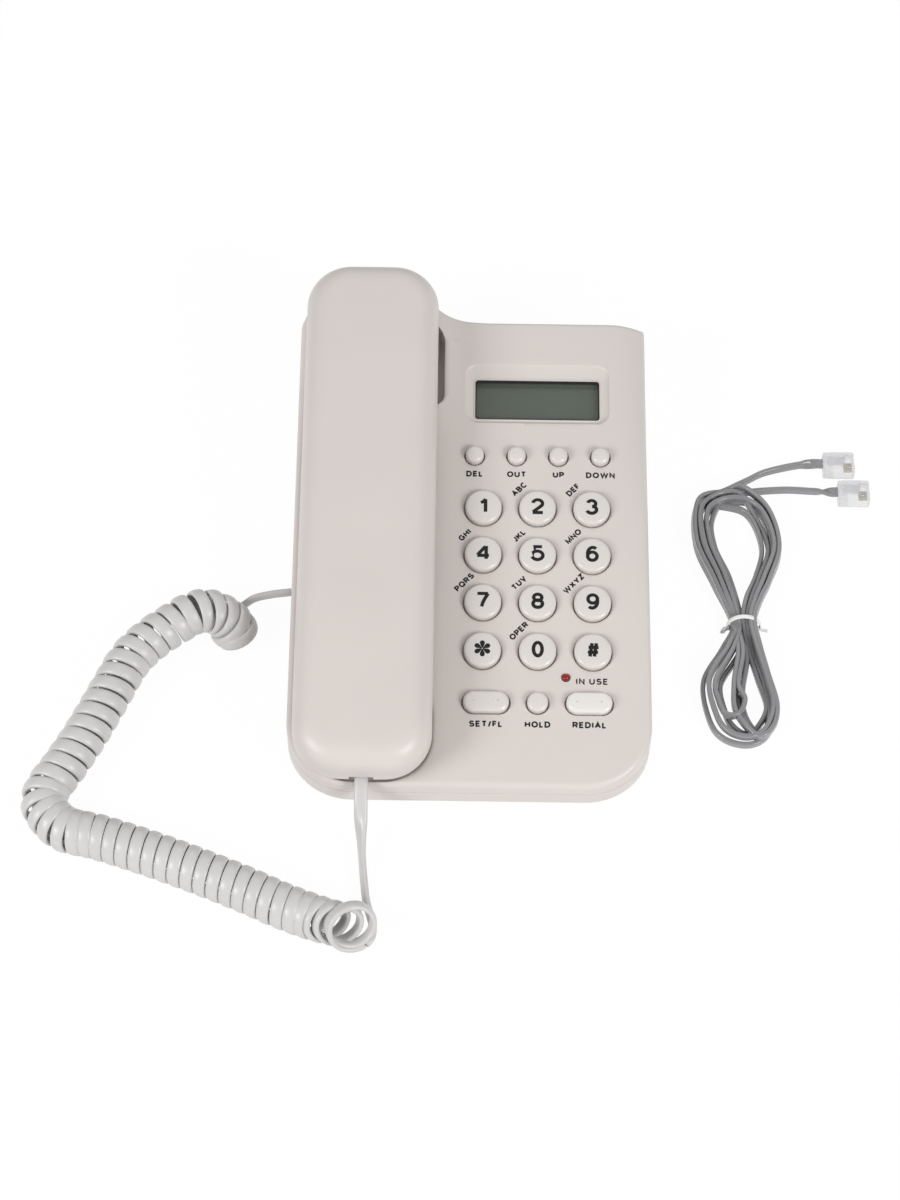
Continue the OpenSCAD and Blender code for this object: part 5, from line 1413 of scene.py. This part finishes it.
# --- Add-on ---
def size_property(name, description, millimetres, low, high):
    """A length in the panel, given in millimetres."""
    return bpy.props.FloatProperty(name=name, description=description, default=millimetres * MM,
                                   min=low * MM, max=high * MM, unit="LENGTH", precision=4)


def colour_property(name, description, value):
    """A colour in the panel."""
    return bpy.props.StringProperty(name=name, description=description + ", as an sRGB hex value",
                                    default=value, maxlen=7)


def number_property(name, description, value, high, **more):
    """A number in the panel, from 0 up."""
    return bpy.props.FloatProperty(name=name, description=description, default=value, min=0.0, max=high,
                                   **more)


class PhoneCordSettings(bpy.types.PropertyGroup):
    """The sizes of the two cords and the way the curly one is wound"""
    curl_outer: size_property("Curl Width", "Outer width of the curly cord's coil", 16.4, 12, 17)
    strand_width: size_property("Strand Width", "Width of the flat strand that the coil is wound from",
                                5.2, 3, 6)
    strand_thick: size_property("Strand Thickness", "Thickness of the coil's flat strand", 2.2, 1.6, 3)
    curl_start: number_property("First Turn Angle", "Where round its axis the coil starts, in degrees",
                                270.0, 360.0)
    curl_end: number_property("Last Turn Angle", "Where round its axis the coil ends, in degrees",
                              250.0, 360.0)
    curl_hand: bpy.props.IntProperty(name="Winding Direction", default=-1, min=-1, max=1,
                                     description="1 winds the coil to the left, -1 to the right")
    line_width: size_property("Line Cord Width", "Width of the flat line cord", 4.0, 3, 6)
    line_thick: size_property("Line Cord Thickness", "Thickness of the flat line cord", 2.0, 1.6, 3)


class PhoneColourSettings(bpy.types.PropertyGroup):
    """The colours of the case, keys, cords and display"""
    shell: colour_property("Case", "Colour of the case and the handset", "#dad3ce")
    key: colour_property("Keys", "Colour of the key caps", "#dfdad5")
    # The redial key's colour is the key colour painted lighter, as painted light from the right.
    redial: colour_property("Redial Key", "Colour of the redial key's cap", "#eae6e2")
    cord: colour_property("Curly Cord", "Colour of the curly cord", "#d1cfce")
    line: colour_property("Line Cord", "Colour of the line cord", "#8b8b8d")
    display: colour_property("Display", "Colour of the display's cell", "#515a4d")


class PhoneLookSettings(bpy.types.PropertyGroup):
    """The lamps and the floor"""
    room: number_property("Room Light", "Strength of the even light from all round", 0.42, 2.0)
    main_light: number_property("Main Lamp", "Power of the soft lamp at the right front", 8.2, 100.0,
                                unit="POWER")
    fill_light: number_property("Front Lamp", "Power of the soft lamp at the left front", 7.3, 100.0,
                                unit="POWER")
    rear_light: number_property("Rear Lamp", "Power of the large soft lamp behind", 1.6, 100.0, unit="POWER")
    floor_shadow: number_property("Floor Shadow", "How much of the floor's own shading is seen", 0.06, 1.0,
                                  subtype="FACTOR")


FINISHES = {}


def finishes(context):
    """The telephone's materials, made once from the colours in the panel."""
    if not FINISHES:
        FINISHES.update(make_materials(context.scene.phone_colours))
    return FINISHES


class PHONE_OT_stage(bpy.types.Operator):
    """Sets the camera, the white floor and the soft lamps"""
    bl_idname = "phone.stage"
    bl_label = "Camera And Stage"

    def execute(self, context):
        make_camera()
        make_stage(context.scene.phone_look)
        return {"FINISHED"}


class PHONE_OT_handset_cord(bpy.types.Operator):
    """Winds the curly cord from the base and its plain end at the handset"""
    bl_idname = "phone.handset_cord"
    bl_label = "Curly Cord"

    def execute(self, context):
        joint = make_curly_cord(context.scene.phone_cords, finishes(context))
        make_handset_tail(context.scene.phone_cords, finishes(context), joint)
        return {"FINISHED"}


class PHONE_OT_line_cord(bpy.types.Operator):
    """Lays the line cord in its tied hank, with the tie"""
    bl_idname = "phone.line_cord"
    bl_label = "Line Cord And Tie"

    def execute(self, context):
        make_tie(finishes(context))
        make_line_cord(context.scene.phone_cords, finishes(context))
        return {"FINISHED"}


class PHONE_OT_plugs(bpy.types.Operator):
    """Moulds the four clear plugs with their latches and gold contacts"""
    bl_idname = "phone.plugs"
    bl_label = "Plugs"

    def execute(self, context):
        make_plugs(finishes(context))
        return {"FINISHED"}


class PHONE_OT_case(bpy.types.Operator):
    """Shapes the upper case with its cradle, saddle and openings"""
    bl_idname = "phone.case"
    bl_label = "Upper Case"

    def execute(self, context):
        make_upper_case(finishes(context))
        return {"FINISHED"}


class PHONE_OT_keys(bpy.types.Operator):
    """Makes the nineteen keys and buttons and the lamp"""
    bl_idname = "phone.keys"
    bl_label = "Keys And Lamp"

    def execute(self, context):
        make_keys(finishes(context))
        make_lamp(finishes(context))
        return {"FINISHED"}


class PHONE_OT_printing(bpy.types.Operator):
    """Prints the digits on the keys and the words on the panel"""
    bl_idname = "phone.printing"
    bl_label = "Printing"

    def execute(self, context):
        make_printing(finishes(context))
        return {"FINISHED"}


class PHONE_OT_handset(bpy.types.Operator):
    """Shapes the handset's two shells"""
    bl_idname = "phone.handset"
    bl_label = "Handset"

    def execute(self, context):
        make_handset(finishes(context))
        return {"FINISHED"}


class PHONE_OT_kept_parts(bpy.types.Operator):
    """Finishes the feet, screws, boards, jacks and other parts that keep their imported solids"""
    bl_idname = "phone.kept_parts"
    bl_label = "Inner Parts, Feet And Jacks"

    def execute(self, context):
        finish_kept_parts(finishes(context))
        return {"FINISHED"}


STEPS = (PHONE_OT_stage, PHONE_OT_plugs, PHONE_OT_handset_cord, PHONE_OT_line_cord, PHONE_OT_case,
         PHONE_OT_keys, PHONE_OT_printing, PHONE_OT_handset, PHONE_OT_kept_parts)


class PHONE_PT_sidebar(bpy.types.Panel):
    """The telephone's sizes, colours and steps"""
    bl_idname = "PHONE_PT_sidebar"
    bl_label = "Corded Desk Telephone"
    bl_space_type = "VIEW_3D"
    bl_region_type = "UI"
    bl_category = "Telephone"

    def draw(self, context):
        layout = self.layout
        for group in (context.scene.phone_cords, context.scene.phone_colours, context.scene.phone_look):
            box = layout.box()
            for name in group.__annotations__:
                box.prop(group, name)
        for step in STEPS:
            layout.operator(step.bl_idname)


CLASSES = (PhoneCordSettings, PhoneColourSettings, PhoneLookSettings) + STEPS + (PHONE_PT_sidebar,)
GROUPS = {"phone_cords": PhoneCordSettings, "phone_colours": PhoneColourSettings,
          "phone_look": PhoneLookSettings}


def register():
    """Adds the telephone's classes and its settings to Blender."""
    for cls in CLASSES:
        bpy.utils.register_class(cls)
    for name, cls in GROUPS.items():
        setattr(bpy.types.Scene, name, bpy.props.PointerProperty(type=cls))


def unregister():
    """Takes them away again."""
    for name in GROUPS:
        delattr(bpy.types.Scene, name)
    for cls in reversed(CLASSES):
        bpy.utils.unregister_class(cls)


def main():
    """Builds the telephone step by step."""
    register()
    bpy.ops.phone.stage()
    bpy.ops.phone.plugs()
    bpy.ops.phone.handset_cord()
    bpy.ops.phone.line_cord()
    bpy.ops.phone.case()
    bpy.ops.phone.keys()
    bpy.ops.phone.printing()
    bpy.ops.phone.handset()
    bpy.ops.phone.kept_parts()


if __name__ == "__main__":
    main()
